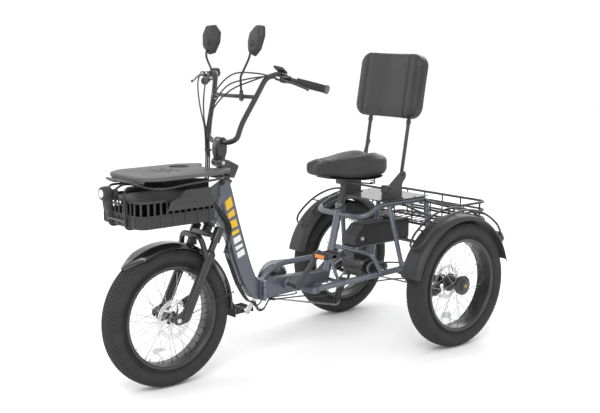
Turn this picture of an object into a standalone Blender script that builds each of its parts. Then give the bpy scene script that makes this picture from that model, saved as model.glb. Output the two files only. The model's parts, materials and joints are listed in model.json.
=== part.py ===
"""Adult electric tricycle with a folding middle, one front and two rear fat-tyred wheels.

Metres, +Z up, front towards -Y, the rider's left is +X. Positions in the functions are
measured from the point on the ground under the middle of the rear axle. The root empty
moves everything so that the origin is the centre of the base of the whole box.
"""
import math

import bmesh
import bpy
from mathutils import Matrix, Vector

for old in list(bpy.data.objects):
    bpy.data.objects.remove(old, do_unlink=True)

# Driving dimensions
GAP = 0.0003               # clearance between pieces that touch
WHEEL_R = 0.290            # outer radius of the tyres
WHEELBASE = 1.311          # front axle ahead of the rear axle
HALF_TRACK = 0.388         # middle of the frame to the middle of a rear tyre
TYRE_HALF = 0.050          # half the width of a tyre
RIM_HALF = 0.044           # half the width of a rim
AXLE_R = 0.0070            # solid axles
ROTOR_R = 0.080            # brake rotors
TUBE_R = 0.0125            # main round frame tubes
SEAT_TUBE_R = 0.0175       # seat tube outside
SEAT_POST_R = 0.0135       # seat post outside
BAR_R = 0.0110             # handlebar tube
CRANK_LENGTH = 0.175
CRANK_ANGLE = 51.5         # left crank above the rearward horizontal, degrees
RAKE = math.radians(26.8)  # steering axis and fork legs from the vertical
LEG_X = 0.080              # fork legs from the middle
LEG_R = 0.0215             # fork lowers outside
STANCHION_R = 0.0140
SEAT_TILT = math.radians(14.66)
DECK_Z = 0.6628            # underside of the deck plate
BASKET_BACK = 0.335        # rearmost point of the cargo basket
ROTOR_OFFSET = 0.0535      # middle of a wheel to its brake rotor

# Key points
BAR_END = Vector((0.415, -0.812, 1.207))
BAR_TOP = Vector((0.178, -0.921, 1.262))
MIRROR_FOOT = Vector((0.092, -0.990, 1.186))
FRONT_AXLE = Vector((0.0, -WHEELBASE, WHEEL_R))
REAR_AXLE = Vector((0.0, 0.0, WHEEL_R))
CRANK = Vector((0.0, -0.703, 0.335))
MOTOR = Vector((0.0, -0.255, 0.350))
STEER_LOW = Vector((0.0, -1.103, 0.630))
FOLD_PIN = Vector((0.049, -0.842, 0.330))
RECLINE = Vector((0.0, -0.094, 0.774))
SEAT_TOP = Vector((0.0, -0.3615, 0.652))
UP_STEER = Vector((0.0, math.sin(RAKE), math.cos(RAKE)))
FORWARD_STEER = Vector((0.0, -math.cos(RAKE), math.sin(RAKE)))
UP_SEAT = Vector((0.0, math.sin(SEAT_TILT), math.cos(SEAT_TILT)))
LID_HINGE = Vector((0.0, -1.062, 0.880))
LATCH_PIN = Vector((-0.046, -0.842, 0.330))
ROW_SHIFT = Vector((0.0, (WHEELBASE + WHEEL_R - BASKET_BACK) / 2, 0.0))


def steer_point(up, forward=0.0, side=0.0):
    """Point in the steering frame: up the steering axis, ahead of it and to one side."""
    return STEER_LOW + UP_STEER * up + FORWARD_STEER * forward + Vector((side, 0, 0))


STEM_PIVOT = steer_point(0.268, 0.065)
BAR_CLAMP = Vector((0.0, -1.033, 0.984))

# Basic solids. Each returns a temporary object in rear axle coordinates.


def solid(bm):
    """Close a bmesh into an object with its faces pointing out."""
    bmesh.ops.recalc_face_normals(bm, faces=bm.faces[:])
    mesh = bpy.data.meshes.new("solid")
    bm.to_mesh(mesh)
    bm.free()
    made = bpy.data.objects.new("solid", mesh)
    bpy.context.scene.collection.objects.link(made)
    return made


def frame_of(axis):
    """Two unit vectors square to an axis."""
    axis = Vector(axis).normalized()
    side = Vector((1, 0, 0)) if abs(axis.x) < 0.9 else Vector((0, 0, 1))
    across = axis.cross(side).normalized()
    return across, axis.cross(across).normalized()


def rings_to_solid(rings, closed=False):
    """Skin rings of points into a tube with flat ends, or into a closed loop."""
    bm = bmesh.new()
    loops = [[bm.verts.new(p) for p in ring] for ring in rings]
    pairs = list(zip(loops, loops[1:]))
    if closed:
        pairs.append((loops[-1], loops[0]))
    for one, two in pairs:
        for i in range(len(one)):
            j = (i + 1) % len(one)
            bm.faces.new((one[i], one[j], two[j], two[i]))
    if not closed:
        bm.faces.new(loops[0])
        bm.faces.new(loops[-1])
    return solid(bm)


def bend(points, radius, steps=3, closed=False):
    """Round the corners of a route with arcs of the given radius."""
    points = [Vector(p) for p in points]
    count = len(points)
    route = []
    for i, corner in enumerate(points):
        if not closed and i in (0, count - 1):
            route.append(corner)
            continue
        before = (points[i - 1] - corner).normalized()
        after = (points[(i + 1) % count] - corner).normalized()
        half = before.angle(after) / 2
        if math.pi / 2 - half < 0.03:
            route.append(corner)
            continue
        reach = radius / math.tan(half)
        centre = corner + (before + after).normalized() * (radius / math.sin(half))
        start = corner + before * reach - centre
        stop = corner + after * reach - centre
        turn = start.angle(stop)
        for k in range(steps + 1):
            t = k / steps
            blend = (start * math.sin((1 - t) * turn) + stop * math.sin(t * turn)) / math.sin(turn)
            route.append(centre + blend)
    return route


def sweep(route, radius, sides=8, closed=False, flat=1.0, phase=0.0):
    """Carry a round or flattened section along a route; radius may vary from point to point."""
    route = [Vector(p) for p in route]
    count = len(route)
    radii = radius if isinstance(radius, (list, tuple)) else [radius] * count
    rings = []
    across = None
    for i, point in enumerate(route):
        back = route[i - 1] if closed or i > 0 else point
        ahead = route[(i + 1) % count] if closed or i < count - 1 else point
        one = (point - back).normalized() if (point - back).length > 0 else None
        two = (ahead - point).normalized() if (ahead - point).length > 0 else None
        tangent = ((one or two) + (two or one)).normalized()
        if across is None:
            across = frame_of(tangent)[0]
        across = (across - tangent * across.dot(tangent)).normalized()
        other = tangent.cross(across)
        ring = []
        for k in range(sides):
            angle = 2 * math.pi * (k + phase) / sides
            ring.append(point + across * (math.cos(angle) * radii[i])
                        + other * (math.sin(angle) * radii[i] * flat))
        rings.append(ring)
    if closed:
        return closed_sweep(rings)
    return rings_to_solid(rings)


def closed_sweep(rings):
    """Join the last ring to the first with the rotation that twists least."""
    first = rings[0]
    last = rings[-1]
    count = len(first)

    def twist(shift):
        return sum((last[k] - first[(k + shift) % count]).length for k in range(count))

    best = min(range(count), key=twist)
    bm = bmesh.new()
    loops = [[bm.verts.new(p) for p in ring] for ring in rings]
    turned = [loops[0][(k + best) % count] for k in range(count)]
    for one, two in list(zip(loops, loops[1:])) + [(loops[-1], turned)]:
        for i in range(count):
            j = (i + 1) % count
            bm.faces.new((one[i], one[j], two[j], two[i]))
    return solid(bm)


def rod(start, end, radius, sides=12, end_radius=None):
    """Straight round bar, or a taper."""
    start = Vector(start)
    end = Vector(end)
    across, other = frame_of(end - start)
    rings = []
    for centre, r in ((start, radius), (end, end_radius or radius)):
        rings.append([centre + across * (math.cos(2 * math.pi * k / sides) * r)
                      + other * (math.sin(2 * math.pi * k / sides) * r) for k in range(sides)])
    return rings_to_solid(rings)


def revolve(profile, centre, axis=(1, 0, 0), segments=32, start=0.0, sweep_angle=2 * math.pi):
    """Turn a closed profile of (radius, height) about an axis; angles run from across."""
    centre = Vector(centre)
    axis = Vector(axis).normalized()
    if abs(axis.x) > 0.9:
        across = Vector((0, 1, 0))
        other = Vector((0, 0, 1))
    else:
        across, other = frame_of(axis)
    full = sweep_angle > 2 * math.pi - 1e-6
    count = segments if full else segments + 1
    rings = []
    for k in range(count):
        angle = start + sweep_angle * k / segments
        radial = across * math.cos(angle) + other * math.sin(angle)
        rings.append([centre + radial * r + axis * h for r, h in profile])
    return rings_to_solid(rings, closed=full)


def drum(profile, centre, axis=(1, 0, 0), segments=24):
    """Turn an open profile of (radius, height) whose ends are closed by flat discs."""
    centre = Vector(centre)
    axis = Vector(axis).normalized()
    across, other = frame_of(axis)
    rings = []
    for r, h in profile:
        rings.append([centre + axis * h + across * (math.cos(2 * math.pi * k / segments) * r)
                      + other * (math.sin(2 * math.pi * k / segments) * r) for k in range(segments)])
    return rings_to_solid(rings)


def prism(outline, direction, edge=0.0):
    """Extrude a flat outline of 3-D points; edge bevels all its edges."""
    direction = Vector(direction)
    bm = bmesh.new()
    low = [bm.verts.new(Vector(p)) for p in outline]
    high = [bm.verts.new(Vector(p) + direction) for p in outline]
    bm.faces.new(low)
    bm.faces.new(high)
    for i in range(len(low)):
        j = (i + 1) % len(low)
        bm.faces.new((low[i], low[j], high[j], high[i]))
    if edge > 0:
        bmesh.ops.bevel(bm, geom=bm.edges[:], offset=edge, segments=1, affect="EDGES")
    return solid(bm)


def block(low, high, edge=0.0):
    """Box between two corners."""
    x0, y0, z0 = low
    x1, y1, z1 = high
    outline = [(x0, y0, z0), (x1, y0, z0), (x1, y1, z0), (x0, y1, z0)]
    return prism(outline, (0, 0, z1 - z0), edge)


def side_plate(outline, x_low, x_high, edge=0.0):
    """Plate square to X from an outline of (y, z)."""
    return prism([(x_low, y, z) for y, z in outline], (x_high - x_low, 0, 0), edge)


def level_plate(outline, z_low, z_high, edge=0.0):
    """Plate square to Z from an outline of (x, y)."""
    return prism([(x, y, z_low) for x, y in outline], (0, 0, z_high - z_low), edge)


def steering_box(half_x, up_low, up_high, back, front, edge=0.0):
    """Box square to the steering axis."""
    outline = [steer_point(up_low, back, -half_x), steer_point(up_low, front, -half_x),
               steer_point(up_low, front, half_x), steer_point(up_low, back, half_x)]
    return prism(outline, UP_STEER * (up_high - up_low), edge)


# Joining and placing


def fuse(solids, cuts=()):
    """Union of solids, less the cuts, as one temporary object."""
    base = solids[0]
    for operation, tools in (("UNION", solids[1:]), ("DIFFERENCE", cuts)):
        for tool in tools:
            step = base.modifiers.new(operation, "BOOLEAN")
            step.operation = operation
            step.solver = "EXACT"
            step.object = tool
    mesh = evaluated_mesh(base)
    for used in list(solids) + list(cuts):
        bpy.data.objects.remove(used, do_unlink=True)
    made = bpy.data.objects.new("solid", mesh)
    bpy.context.scene.collection.objects.link(made)
    return made


def evaluated_mesh(made):
    """The mesh of an object with its modifiers applied."""
    bpy.context.view_layer.update()
    graph = bpy.context.evaluated_depsgraph_get()
    return bpy.data.meshes.new_from_object(made.evaluated_get(graph))


def on_side(made, side):
    """The piece itself on the left, its reflection on the right."""
    if side > 0:
        return made
    copy = mirrored(made)
    bpy.data.objects.remove(made, do_unlink=True)
    return copy


def mirrored(made):
    """A copy reflected in the middle plane."""
    bm = bmesh.new()
    bm.from_mesh(made.data)
    for vert in bm.verts:
        vert.co.x = -vert.co.x
    bmesh.ops.reverse_faces(bm, faces=bm.faces[:])
    mesh = bpy.data.meshes.new("mirror")
    bm.to_mesh(mesh)
    bm.free()
    copy = bpy.data.objects.new("mirror", mesh)
    bpy.context.scene.collection.objects.link(copy)
    return copy


FINISHES = {
    "frame_paint": ((0.105, 0.112, 0.145), 0.35, 0.45),
    "black_paint": ((0.020, 0.020, 0.021), 0.40, 0.20),
    "black_plastic": ((0.022, 0.022, 0.023), 0.55, 0.0),
    "grey_plastic": ((0.075, 0.075, 0.078), 0.50, 0.0),
    "tyre_rubber": ((0.030, 0.030, 0.031), 0.80, 0.0),
    "steel": ((0.560, 0.560, 0.570), 0.25, 1.0),
    "silver": ((0.600, 0.600, 0.610), 0.35, 0.9),
    "vinyl": ((0.028, 0.028, 0.029), 0.45, 0.0),
    "deck": ((0.150, 0.150, 0.155), 0.22, 0.30),
    "rubber": ((0.016, 0.016, 0.016), 0.70, 0.0),
}
made_materials = {}
bodies = {}


def material(finish):
    """The Principled material of a finish."""
    if finish in made_materials:
        return made_materials[finish]
    colour, roughness, metallic = FINISHES[finish]
    mat = bpy.data.materials.new(finish)
    mat.use_nodes = True
    shader = mat.node_tree.nodes["Principled BSDF"]
    shader.inputs["Base Color"].default_value = (*colour, 1.0)
    shader.inputs["Roughness"].default_value = roughness
    shader.inputs["Metallic"].default_value = metallic
    made_materials[finish] = mat
    return mat


def body(name, parent, pivot):
    """An empty on a joint's axis that carries the pieces of one moving body."""
    empty = bpy.data.objects.new("body_" + name, None)
    bpy.context.scene.collection.objects.link(empty)
    pivot = Vector(pivot)
    if parent:
        empty.parent = bodies[parent][0]
        empty.location = pivot - bodies[parent][1]
    else:
        empty.location = ROW_SHIFT
    bodies[name] = (empty, pivot)


def place(name, made, body_name, finish, smooth_angle=35):
    """Name a finished piece, give it its material and hang it on its body."""
    empty, pivot = bodies[body_name]
    made.name = name
    made.data.name = name
    made.data.transform(Matrix.Translation(-pivot))
    made.data.materials.clear()
    made.data.materials.append(material(finish))
    made.data.shade_smooth()
    made.data.set_sharp_from_angle(angle=math.radians(smooth_angle))
    made.parent = empty


# Rear frame


def seat_line(z):
    """Point of the seat tube's axis at a height."""
    return Vector((0.0, SEAT_TOP.y + (z - SEAT_TOP.z) * math.tan(SEAT_TILT), z))


def build_rear_frame():
    beam = side_plate([(-0.8325, 0.280), (-0.8325, 0.372), (-0.470, 0.357), (-0.452, 0.300)],
                      -0.026, 0.026, 0.006)
    hinge_plate = block((-0.038, -0.8416, 0.286), (0.038, -0.829, 0.376), 0.002)
    barrel = rod(FOLD_PIN + Vector((0, 0, -0.016)), FOLD_PIN + Vector((0, 0, 0.016)), 0.009, 12)
    barrel_web = block((0.030, -0.8405, 0.3145), (0.047, -0.832, 0.3455))
    bracket_shell = rod(CRANK + Vector((-0.045, 0, 0)), CRANK + Vector((0.045, 0, 0)), 0.0215, 12)
    top_beam = sweep(bend([(0, -0.826, 0.352), (0, -0.792, 0.392), (0, -0.716, 0.424),
                           (0, -0.440, 0.424)], 0.07, 3), 0.0125, 6, flat=1.1, phase=0.5)
    seat_tube = rod(seat_line(0.296), seat_line(0.652), SEAT_TUBE_R, 12)
    cross_box = block((-0.074, -0.585, 0.2735), (0.074, -0.545, 0.303), 0.003)
    solids = [beam, hinge_plate, barrel_web, barrel, bracket_shell, top_beam, seat_tube, cross_box]
    solids += [build_loop(), rod((-0.098, -0.446, 0.313), (0.098, -0.446, 0.313), 0.0085, 6)]
    solids.append(rod((-0.155, 0.045, 0.432), (0.155, 0.045, 0.432), 0.0085, 6))
    for side in (1, -1):
        solids.append(rod((0.055 * side, -0.557, 0.290), (0.1975 * side, -0.150, 0.350), 0.0135, 8))
        solids.append(rod((0.157 * side, -0.205, 0.650), (0.1965 * side, -0.150, 0.350), 0.0110, 6))
        solids.append(rod((0.157 * side, 0.045, 0.650), (0.1930 * side, 0.030, 0.300), 0.0110, 6))
        solids.append(rod((0, -0.424, 0.412), (0.088 * side, -0.446, 0.313), 0.0075, 5))
        plate = side_plate([(-0.180, 0.330), (-0.170, 0.368), (0.055, 0.325), (0.055, 0.258),
                            (-0.030, 0.255)], 0.1935 * side, 0.2005 * side)
        solids.append(plate)
    hoop = sweep(bend([(-0.171, -0.262, 0.338), (-0.152, -0.300, 0.4295), (0.152, -0.300, 0.4295),
                       (0.171, -0.262, 0.338)], 0.035, 2), 0.0095, 6)
    tray = block((-0.038, -0.312, 0.4385), (0.038, 0.053, 0.4445))
    solids += [hoop, tray]
    cuts = [rod(seat_line(0.430), seat_line(0.668), SEAT_POST_R + GAP, 12),
            rod(CRANK + Vector((-0.06, 0, 0)), CRANK + Vector((0.06, 0, 0)), 0.0092, 12),
            rod((-0.215, 0, WHEEL_R), (0.215, 0, WHEEL_R), 0.0190, 12),
            rod(FOLD_PIN + Vector((0, 0, -0.03)), FOLD_PIN + Vector((0, 0, 0.03)), 0.0053, 12)]
    return fuse(solids, cuts)


def build_loop():
    """The tube loop under the deck, which dips in front and crosses the seat tube."""
    half = [(0.157, 0.045, 0.650), (0.157, -0.268, 0.650), (0.157, -0.350, 0.612),
            (0.110, -0.3755, 0.606)]
    other = [(-x, y, z) for x, y, z in reversed(half)]
    return sweep(bend(half + other, 0.028, 2, closed=True), TUBE_R, 8, closed=True)


def build_deck():
    outline = [(-0.167, -0.236), (0.167, -0.236), (0.167, 0.052), (-0.167, 0.052)]
    return level_plate(outline, DECK_Z, DECK_Z + 0.004, 0.001)


def build_axle_housing(side):
    """Tube from the middle to a rear wheel, necked in at its ends, with its brake calliper."""
    low, high = (0.146, 0.300) if side > 0 else (-0.300, 0.064)
    edge = 0.0085
    profile = [(0.0078, low), (0.0180, low), (0.0180, high), (0.0078, high), (0.0078, high - edge),
               (0.0125, high - edge), (0.0125, low + edge), (0.0078, low + edge)]
    tube = revolve(profile, REAR_AXLE, segments=16)
    mount = side_plate([(-0.066, 0.240), (-0.010, 0.312), (0.012, 0.312), (0.012, 0.272), (-0.045, 0.215),
                        (-0.066, 0.220)], 0.287, 0.2925)
    rotor_x = HALF_TRACK - ROTOR_OFFSET
    jaws = block((rotor_x - 0.012, -0.098, 0.236), (rotor_x + 0.012, -0.050, 0.290), 0.004)
    slot = block((rotor_x - 0.0027, -0.086, 0.20), (rotor_x + 0.0027, -0.040, 0.32))
    arm = block((0.289, -0.062, 0.224), (rotor_x - 0.008, -0.052, 0.246))
    brake = on_side(fuse([mount, jaws, arm], [slot, rod((0.28, 0, WHEEL_R), (0.30, 0, WHEEL_R), 0.0150, 12)]), side)
    return fuse([tube, brake])


def build_battery():
    case = side_plate([(-0.308, 0.4453), (-0.308, 0.492), (-0.250, 0.545), (0.050, 0.545),
                       (0.050, 0.4453)], -0.045, 0.045, 0.006)
    lock = rod((0.044, -0.262, 0.480), (0.049, -0.262, 0.480), 0.009, 12)
    handle = block((-0.030, -0.060, 0.5440), (0.030, -0.040, 0.556), 0.003)
    return fuse([case, lock, handle])


def build_motor():
    """Drum open at both ends round the shaft, with its stator ring and two hanging lugs."""
    shell = revolve([(0.0070, -0.045), (0.048, -0.045), (0.052, -0.040), (0.052, 0.080), (0.047, 0.087),
                     (0.0070, 0.087), (0.0070, 0.081), (0.046, 0.081), (0.046, 0.060), (0.031, 0.060),
                     (0.031, -0.022), (0.046, -0.022), (0.046, -0.039), (0.0070, -0.039)], MOTOR, segments=12)
    lug = block((-0.030, -0.300, 0.376), (0.030, -0.280, 0.4192), 0.002)
    rear_lug = block((-0.030, -0.226, 0.388), (0.030, -0.212, 0.4382), 0.002)
    return fuse([shell, lug, rear_lug])


CHAIN_HALF = 0.0042      # half the height of a chain's side plate
RING_R = 0.0849          # pitch radius of the 42 tooth chainring
INPUT_R = 0.0323         # pitch radius of the 16 tooth freewheel
OUTPUT_R = 0.0283        # pitch radius of the 14 tooth motor sprocket
AXLE_SPROCKET_R = 0.0485  # pitch radius of the 24 tooth axle sprocket
CHAIN_X = -0.0680
DRIVE_X = 0.1050
CAGE_HIGH = Vector((CHAIN_X, -0.292, 0.262))
CAGE_LOW = Vector((CHAIN_X, -0.322, 0.172))
PULLEY_R = 0.0190


def belt_route(x, circles, steps=5):
    """Route round circles in order; each is (y, z, radius, turn), turn +1 wraps outside."""
    route = []
    count = len(circles)
    ends = []
    for i in range(count):
        y0, z0, r0, s0 = circles[i]
        y1, z1, r1, s1 = circles[(i + 1) % count]
        dy, dz = y1 - y0, z1 - z0
        gap = math.hypot(dy, dz)
        heading = math.atan2(dz, dy)
        tilt = math.acos((r0 * s0 - r1 * s1) / gap)
        angle = heading + tilt
        ends.append((angle if s0 > 0 else angle + math.pi, angle if s1 > 0 else angle + math.pi))
    for i in range(count):
        y0, z0, r0, s0 = circles[i]
        start = ends[i - 1][1]
        stop = ends[i][0]
        turn = (stop - start) % (2 * math.pi)
        if s0 > 0:
            turn -= 2 * math.pi if turn > 0 else 0
        points = max(2, int(steps * abs(turn) / 1.5) + 1)
        for k in range(points):
            angle = start + turn * k / (points - 1)
            route.append(Vector((x, y0 + r0 * math.cos(angle), z0 + r0 * math.sin(angle))))
    return route


def belt(route, half_width):
    """Flat band of the chain's width and height along a closed route in a plane of X."""
    rings = []
    count = len(route)
    for i, point in enumerate(route):
        tangent = (route[(i + 1) % count] - route[i - 1]).normalized()
        normal = Vector((0, -tangent.z, tangent.y)) * CHAIN_HALF
        side = Vector((half_width, 0, 0))
        rings.append([point - normal - side, point + normal - side,
                      point + normal + side, point - normal + side])
    return rings_to_solid(rings, closed=True)


def build_drive_chain():
    circles = [(CRANK.y, CRANK.z, RING_R, 1), (MOTOR.y, MOTOR.z, INPUT_R, 1),
               (CAGE_HIGH.y, CAGE_HIGH.z, PULLEY_R, -1), (CAGE_LOW.y, CAGE_LOW.z, PULLEY_R, 1)]
    return belt(belt_route(CHAIN_X, circles), 0.0035)


def build_output_chain():
    circles = [(MOTOR.y, MOTOR.z, OUTPUT_R, 1), (0.0, WHEEL_R, AXLE_SPROCKET_R, 1)]
    return belt(belt_route(DRIVE_X, circles), 0.0035)


def build_derailleur():
    inner = CHAIN_X + 0.010
    hanger = side_plate([(-0.272, 0.262), (-0.258, 0.256), (-0.226, 0.318), (-0.226, 0.395), (-0.240, 0.395),
                         (-0.240, 0.330)], inner, inner + 0.004)
    boss = block((inner + 0.002, -0.239, 0.374), (-0.0455, -0.227, 0.386))
    arm = rod((inner + 0.0035, -0.262, 0.268), (CHAIN_X - 0.012, -0.262, 0.268), 0.0065, 8)
    solids = [hanger, boss, arm]
    for centre in (CAGE_HIGH, CAGE_LOW):
        reach = Vector((0.0035, 0, 0))
        solids.append(rod(centre - reach, centre + reach, PULLEY_R - CHAIN_HALF - 0.0010, 10))
        solids.append(rod(centre - reach * 2.1, centre + reach * 2.1, 0.003, 8))
    for low in (-0.0065, 0.0045):
        x = CHAIN_X + low
        solids.append(prism([(x, -0.252, 0.272), (x, -0.300, 0.284), (x, -0.332, 0.163), (x, -0.312, 0.160)],
                            (0.002, 0, 0)))
    return fuse(solids)


def ring_wire(x, low_y, high_y, z, radius):
    corners = [(x, low_y, z), (x, high_y, z), (-x, high_y, z), (-x, low_y, z)]
    return sweep(bend(corners, 0.030, 2, closed=True), radius, 4, closed=True)


def build_cargo_basket():
    wire = 0.0055
    x = 0.285
    low_y = 0.112
    high_y = BASKET_BACK - wire
    floor_z = 0.505
    top_z = 0.622
    wires = [ring_wire(x, low_y, high_y, z, wire) for z in (floor_z, top_z)]
    uprights = [(s * x, y) for s in (1, -1) for y in (0.185, 0.260)]
    uprights += [(s * across, y) for s in (1, -1) for y in (low_y, high_y) for across in (0.075, 0.190)]
    for across, y in uprights:
        wires.append(rod((across, y, floor_z - 0.001), (across, y, top_z + 0.001), 0.0040, 4))
    for across in (-0.225, -0.130, 0.0, 0.130, 0.225):
        wires.append(rod((across, low_y - 0.001, floor_z), (across, high_y + 0.001, floor_z), 0.0040, 4))
    for side in (1, -1):
        wires.append(block((side * 0.105 - 0.011, 0.0585, 0.616), (side * 0.105 + 0.011, low_y, 0.622)))
        wires.append(block((side * 0.105 - 0.011, 0.0585, 0.616), (side * 0.105 + 0.011, 0.0625, 0.655)))
    return fuse(wires)


FENDER_IN = 0.3185
FENDER_OUT = 0.3220
RAIL_R = 0.3450


def build_fender(side):
    """Curved band over a rear tyre with folded edges, carrying a tail light."""
    half = 0.058
    outer = [(-half, -0.018), (-0.044, 0.0), (0.044, 0.0), (half, -0.018)]
    profile = [(FENDER_OUT + drop, HALF_TRACK + across) for across, drop in outer]
    profile += [(FENDER_IN + drop, HALF_TRACK + across * 0.945) for across, drop in reversed(outer)]
    band = revolve(profile, REAR_AXLE, segments=15, start=math.radians(14), sweep_angle=math.radians(153))
    angle = math.radians(32)
    out = Vector((0, math.cos(angle), math.sin(angle)))
    down = Vector((0, math.sin(angle), -math.cos(angle)))
    foot = Vector((HALF_TRACK, 0, WHEEL_R)) + out * (FENDER_OUT - 0.0025)
    corners = [foot - down * 0.026, foot + down * 0.026, foot + down * 0.022 + out * 0.036,
               foot - down * 0.024 + out * 0.041]
    shell = prism([c - Vector((0.028, 0, 0)) for c in corners], (0.056, 0, 0), 0.005)
    return on_side(fuse([band, shell]), side)


def build_fender_rail(side):
    """Tube loop over a fender, its feet and the arms that tie it to the frame."""
    def on_arc(angle, x, radius=RAIL_R):
        turn = math.radians(angle)
        return Vector((side * x, radius * math.cos(turn), WHEEL_R + radius * math.sin(turn)))

    inner = [on_arc(a, 0.350) for a in range(44, 137, 15)]
    outer = [on_arc(a, 0.428) for a in range(134, 43, -15)]
    route = inner + [on_arc(141, 0.366), on_arc(142, 0.410)] + outer + [on_arc(39, 0.412), on_arc(38, 0.368)]
    solids = [sweep(route, 0.0055, 4, closed=True)]
    for angle in (64, 118):
        solids.append(rod(on_arc(angle, 0.350), on_arc(angle, 0.428), 0.0038, 4))
    for angle in (52, 90, 128):
        solids.append(rod(on_arc(angle, 0.370), on_arc(angle, 0.370, FENDER_OUT + GAP * 3), 0.0050, 5))
        solids.append(rod(on_arc(angle, 0.350), on_arc(angle, 0.372), 0.0040, 4))
    for y in (-0.125, 0.020):
        rise = math.sqrt(RAIL_R ** 2 - y ** 2)
        solids.append(rod((side * 0.1699, y, 0.646), (side * 0.352, y, WHEEL_R + rise), 0.0055, 6))
    return fuse(solids)


def build_backrest_brackets():
    top = DECK_Z + 0.004 + GAP
    plate = side_plate([(-0.232, top), (-0.232, 0.700), (-0.175, 0.742), (-0.112, 0.790), (-0.078, 0.790),
                        (-0.074, 0.760), (-0.100, 0.735), (-0.100, top)], 0.135, 0.139)
    foot = block((0.123, -0.232, top), (0.151, -0.100, top + 0.004))
    socket = block((0.121, -0.222, 0.700), (0.157, -0.178, 0.735), 0.003)
    holes = [rod((0.12, -0.130, 0.700), (0.155, -0.130, 0.700), 0.007, 8),
             rod((0.12, RECLINE.y, RECLINE.z), (0.155, RECLINE.y, RECLINE.z), 0.0055, 10)]
    left = fuse([plate, foot, socket], holes)
    return fuse([left, mirrored(left), rod((-0.125, -0.200, 0.718), (0.125, -0.200, 0.718), 0.005, 8)])


def build_rear_cables():
    left = [(0.020, -0.800, 0.2755), (0.022, -0.700, 0.268), (0.030, -0.600, 0.262), (0.085, -0.560, 0.264),
            (0.110, -0.480, 0.274), (0.150, -0.300, 0.300), (0.215, -0.120, 0.300), (0.296, -0.100, 0.265)]
    right = [(-x, y, z) for x, y, z in left]
    right = [Vector((x, y, z - 0.001)) for x, y, z in right]
    clip = block((-0.024, -0.772, 0.2680), (0.024, -0.760, 0.2745))
    return fuse([sweep(smooth_route(left, 14), 0.0026, 4), sweep(smooth_route(right, 14), 0.0026, 4), clip])


def smooth_route(points, count):
    """Points of a smooth curve through a cable's own points."""
    points = [Vector(p) for p in points]
    route = []
    last = len(points) - 1
    for k in range(count):
        place_on = k * last / (count - 1)
        i = min(int(place_on), last - 1)
        t = place_on - i
        p0 = points[max(i - 1, 0)]
        p1 = points[i]
        p2 = points[i + 1]
        p3 = points[min(i + 2, last)]
        route.append(0.5 * (2 * p1 + (p2 - p0) * t + (2 * p0 - 5 * p1 + 4 * p2 - p3) * t * t
                            + (3 * p1 - p0 - 3 * p2 + p3) * t ** 3))
    return route


# Seat, backrest and drive


def build_seat_post():
    post = rod(seat_line(0.475), seat_line(0.752), SEAT_POST_R, 12)
    clamp = block((-0.022, -0.372, 0.742), (0.022, -0.298, 0.764), 0.003)
    return fuse([post, clamp])


def build_saddle():
    """Wide short saddle: sections across X that widen to the rear, with a dip along the middle."""
    stations = [(-0.536, 0.030, 0.805, 0.853), (-0.500, 0.052, 0.788, 0.866), (-0.430, 0.072, 0.776, 0.870),
                (-0.350, 0.112, 0.7660, 0.872), (-0.270, 0.138, 0.7650, 0.876), (-0.200, 0.134, 0.770, 0.880),
                (-0.155, 0.100, 0.795, 0.876)]
    rings = []
    for y, half, low, high in stations:
        ring = []
        for k in range(14):
            angle = 2 * math.pi * k / 14
            across = math.cos(angle)
            up = math.sin(angle)
            z = (low + high) / 2 + (high - low) / 2 * (abs(up) ** 0.7) * (1 if up > 0 else -1)
            if up > 0.9:
                z -= 0.008
            ring.append(Vector((half * abs(across) ** 0.8 * (1 if across > 0 else -1), y, z)))
        rings.append(ring)
    return rings_to_solid(rings)


def recline_point(up, back=0.0, x=0.0):
    """Point in the frame of the backrest, which leans 9.9 degrees."""
    lean = math.radians(9.9)
    return Vector((x, RECLINE.y + up * math.sin(lean) + back * math.cos(lean),
                   RECLINE.z + up * math.cos(lean) - back * math.sin(lean)))


def build_backrest_posts():
    solids = []
    for side in (1, -1):
        x = side * 0.1255
        solids.append(rod(recline_point(-0.016, 0, x), recline_point(0.44, 0, x), 0.0085, 10))
    solids.append(rod(recline_point(0.40, 0, -0.1255), recline_point(0.40, 0, 0.1255), 0.0070, 8))
    for side in (1, -1):
        solids.append(rod((side * 0.1255, RECLINE.y, RECLINE.z), (side * 0.144, RECLINE.y, RECLINE.z), 0.0050, 10))
    return fuse(solids)


def build_backrest_pad():
    """Rounded upright pad whose front is dished."""
    half = 0.204
    bottom = 0.252
    top = 0.560
    corner = 0.060
    rings = []
    for back, shrink in ((-0.056, 0.020), (-0.044, 0.004), (-0.010, 0.0), (0.014, 0.006), (0.020, 0.020)):
        ring = []
        for cx, cz, start in ((half, top, 0), (-half, top, 90), (-half, bottom, 180), (half, bottom, 270)):
            mid_x = cx - math.copysign(corner, cx)
            mid_z = cz - corner if cz == top else cz + corner
            for step in range(4):
                angle = math.radians(start + 30 * step)
                ring.append(recline_point(mid_z + (corner - shrink) * math.sin(angle), back,
                                          mid_x + (corner - shrink) * math.cos(angle)))
        rings.append(ring)
    made = rings_to_solid(rings)
    cuts = []
    for side in (1, -1):
        cuts.append(rod(recline_point(0.2, 0, side * 0.1255), recline_point(0.4405, 0, side * 0.1255), 0.0088, 10))
    cuts.append(rod(recline_point(0.40, 0, -0.127), recline_point(0.40, 0, 0.127), 0.0073, 8))
    return fuse([made], cuts)


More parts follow.
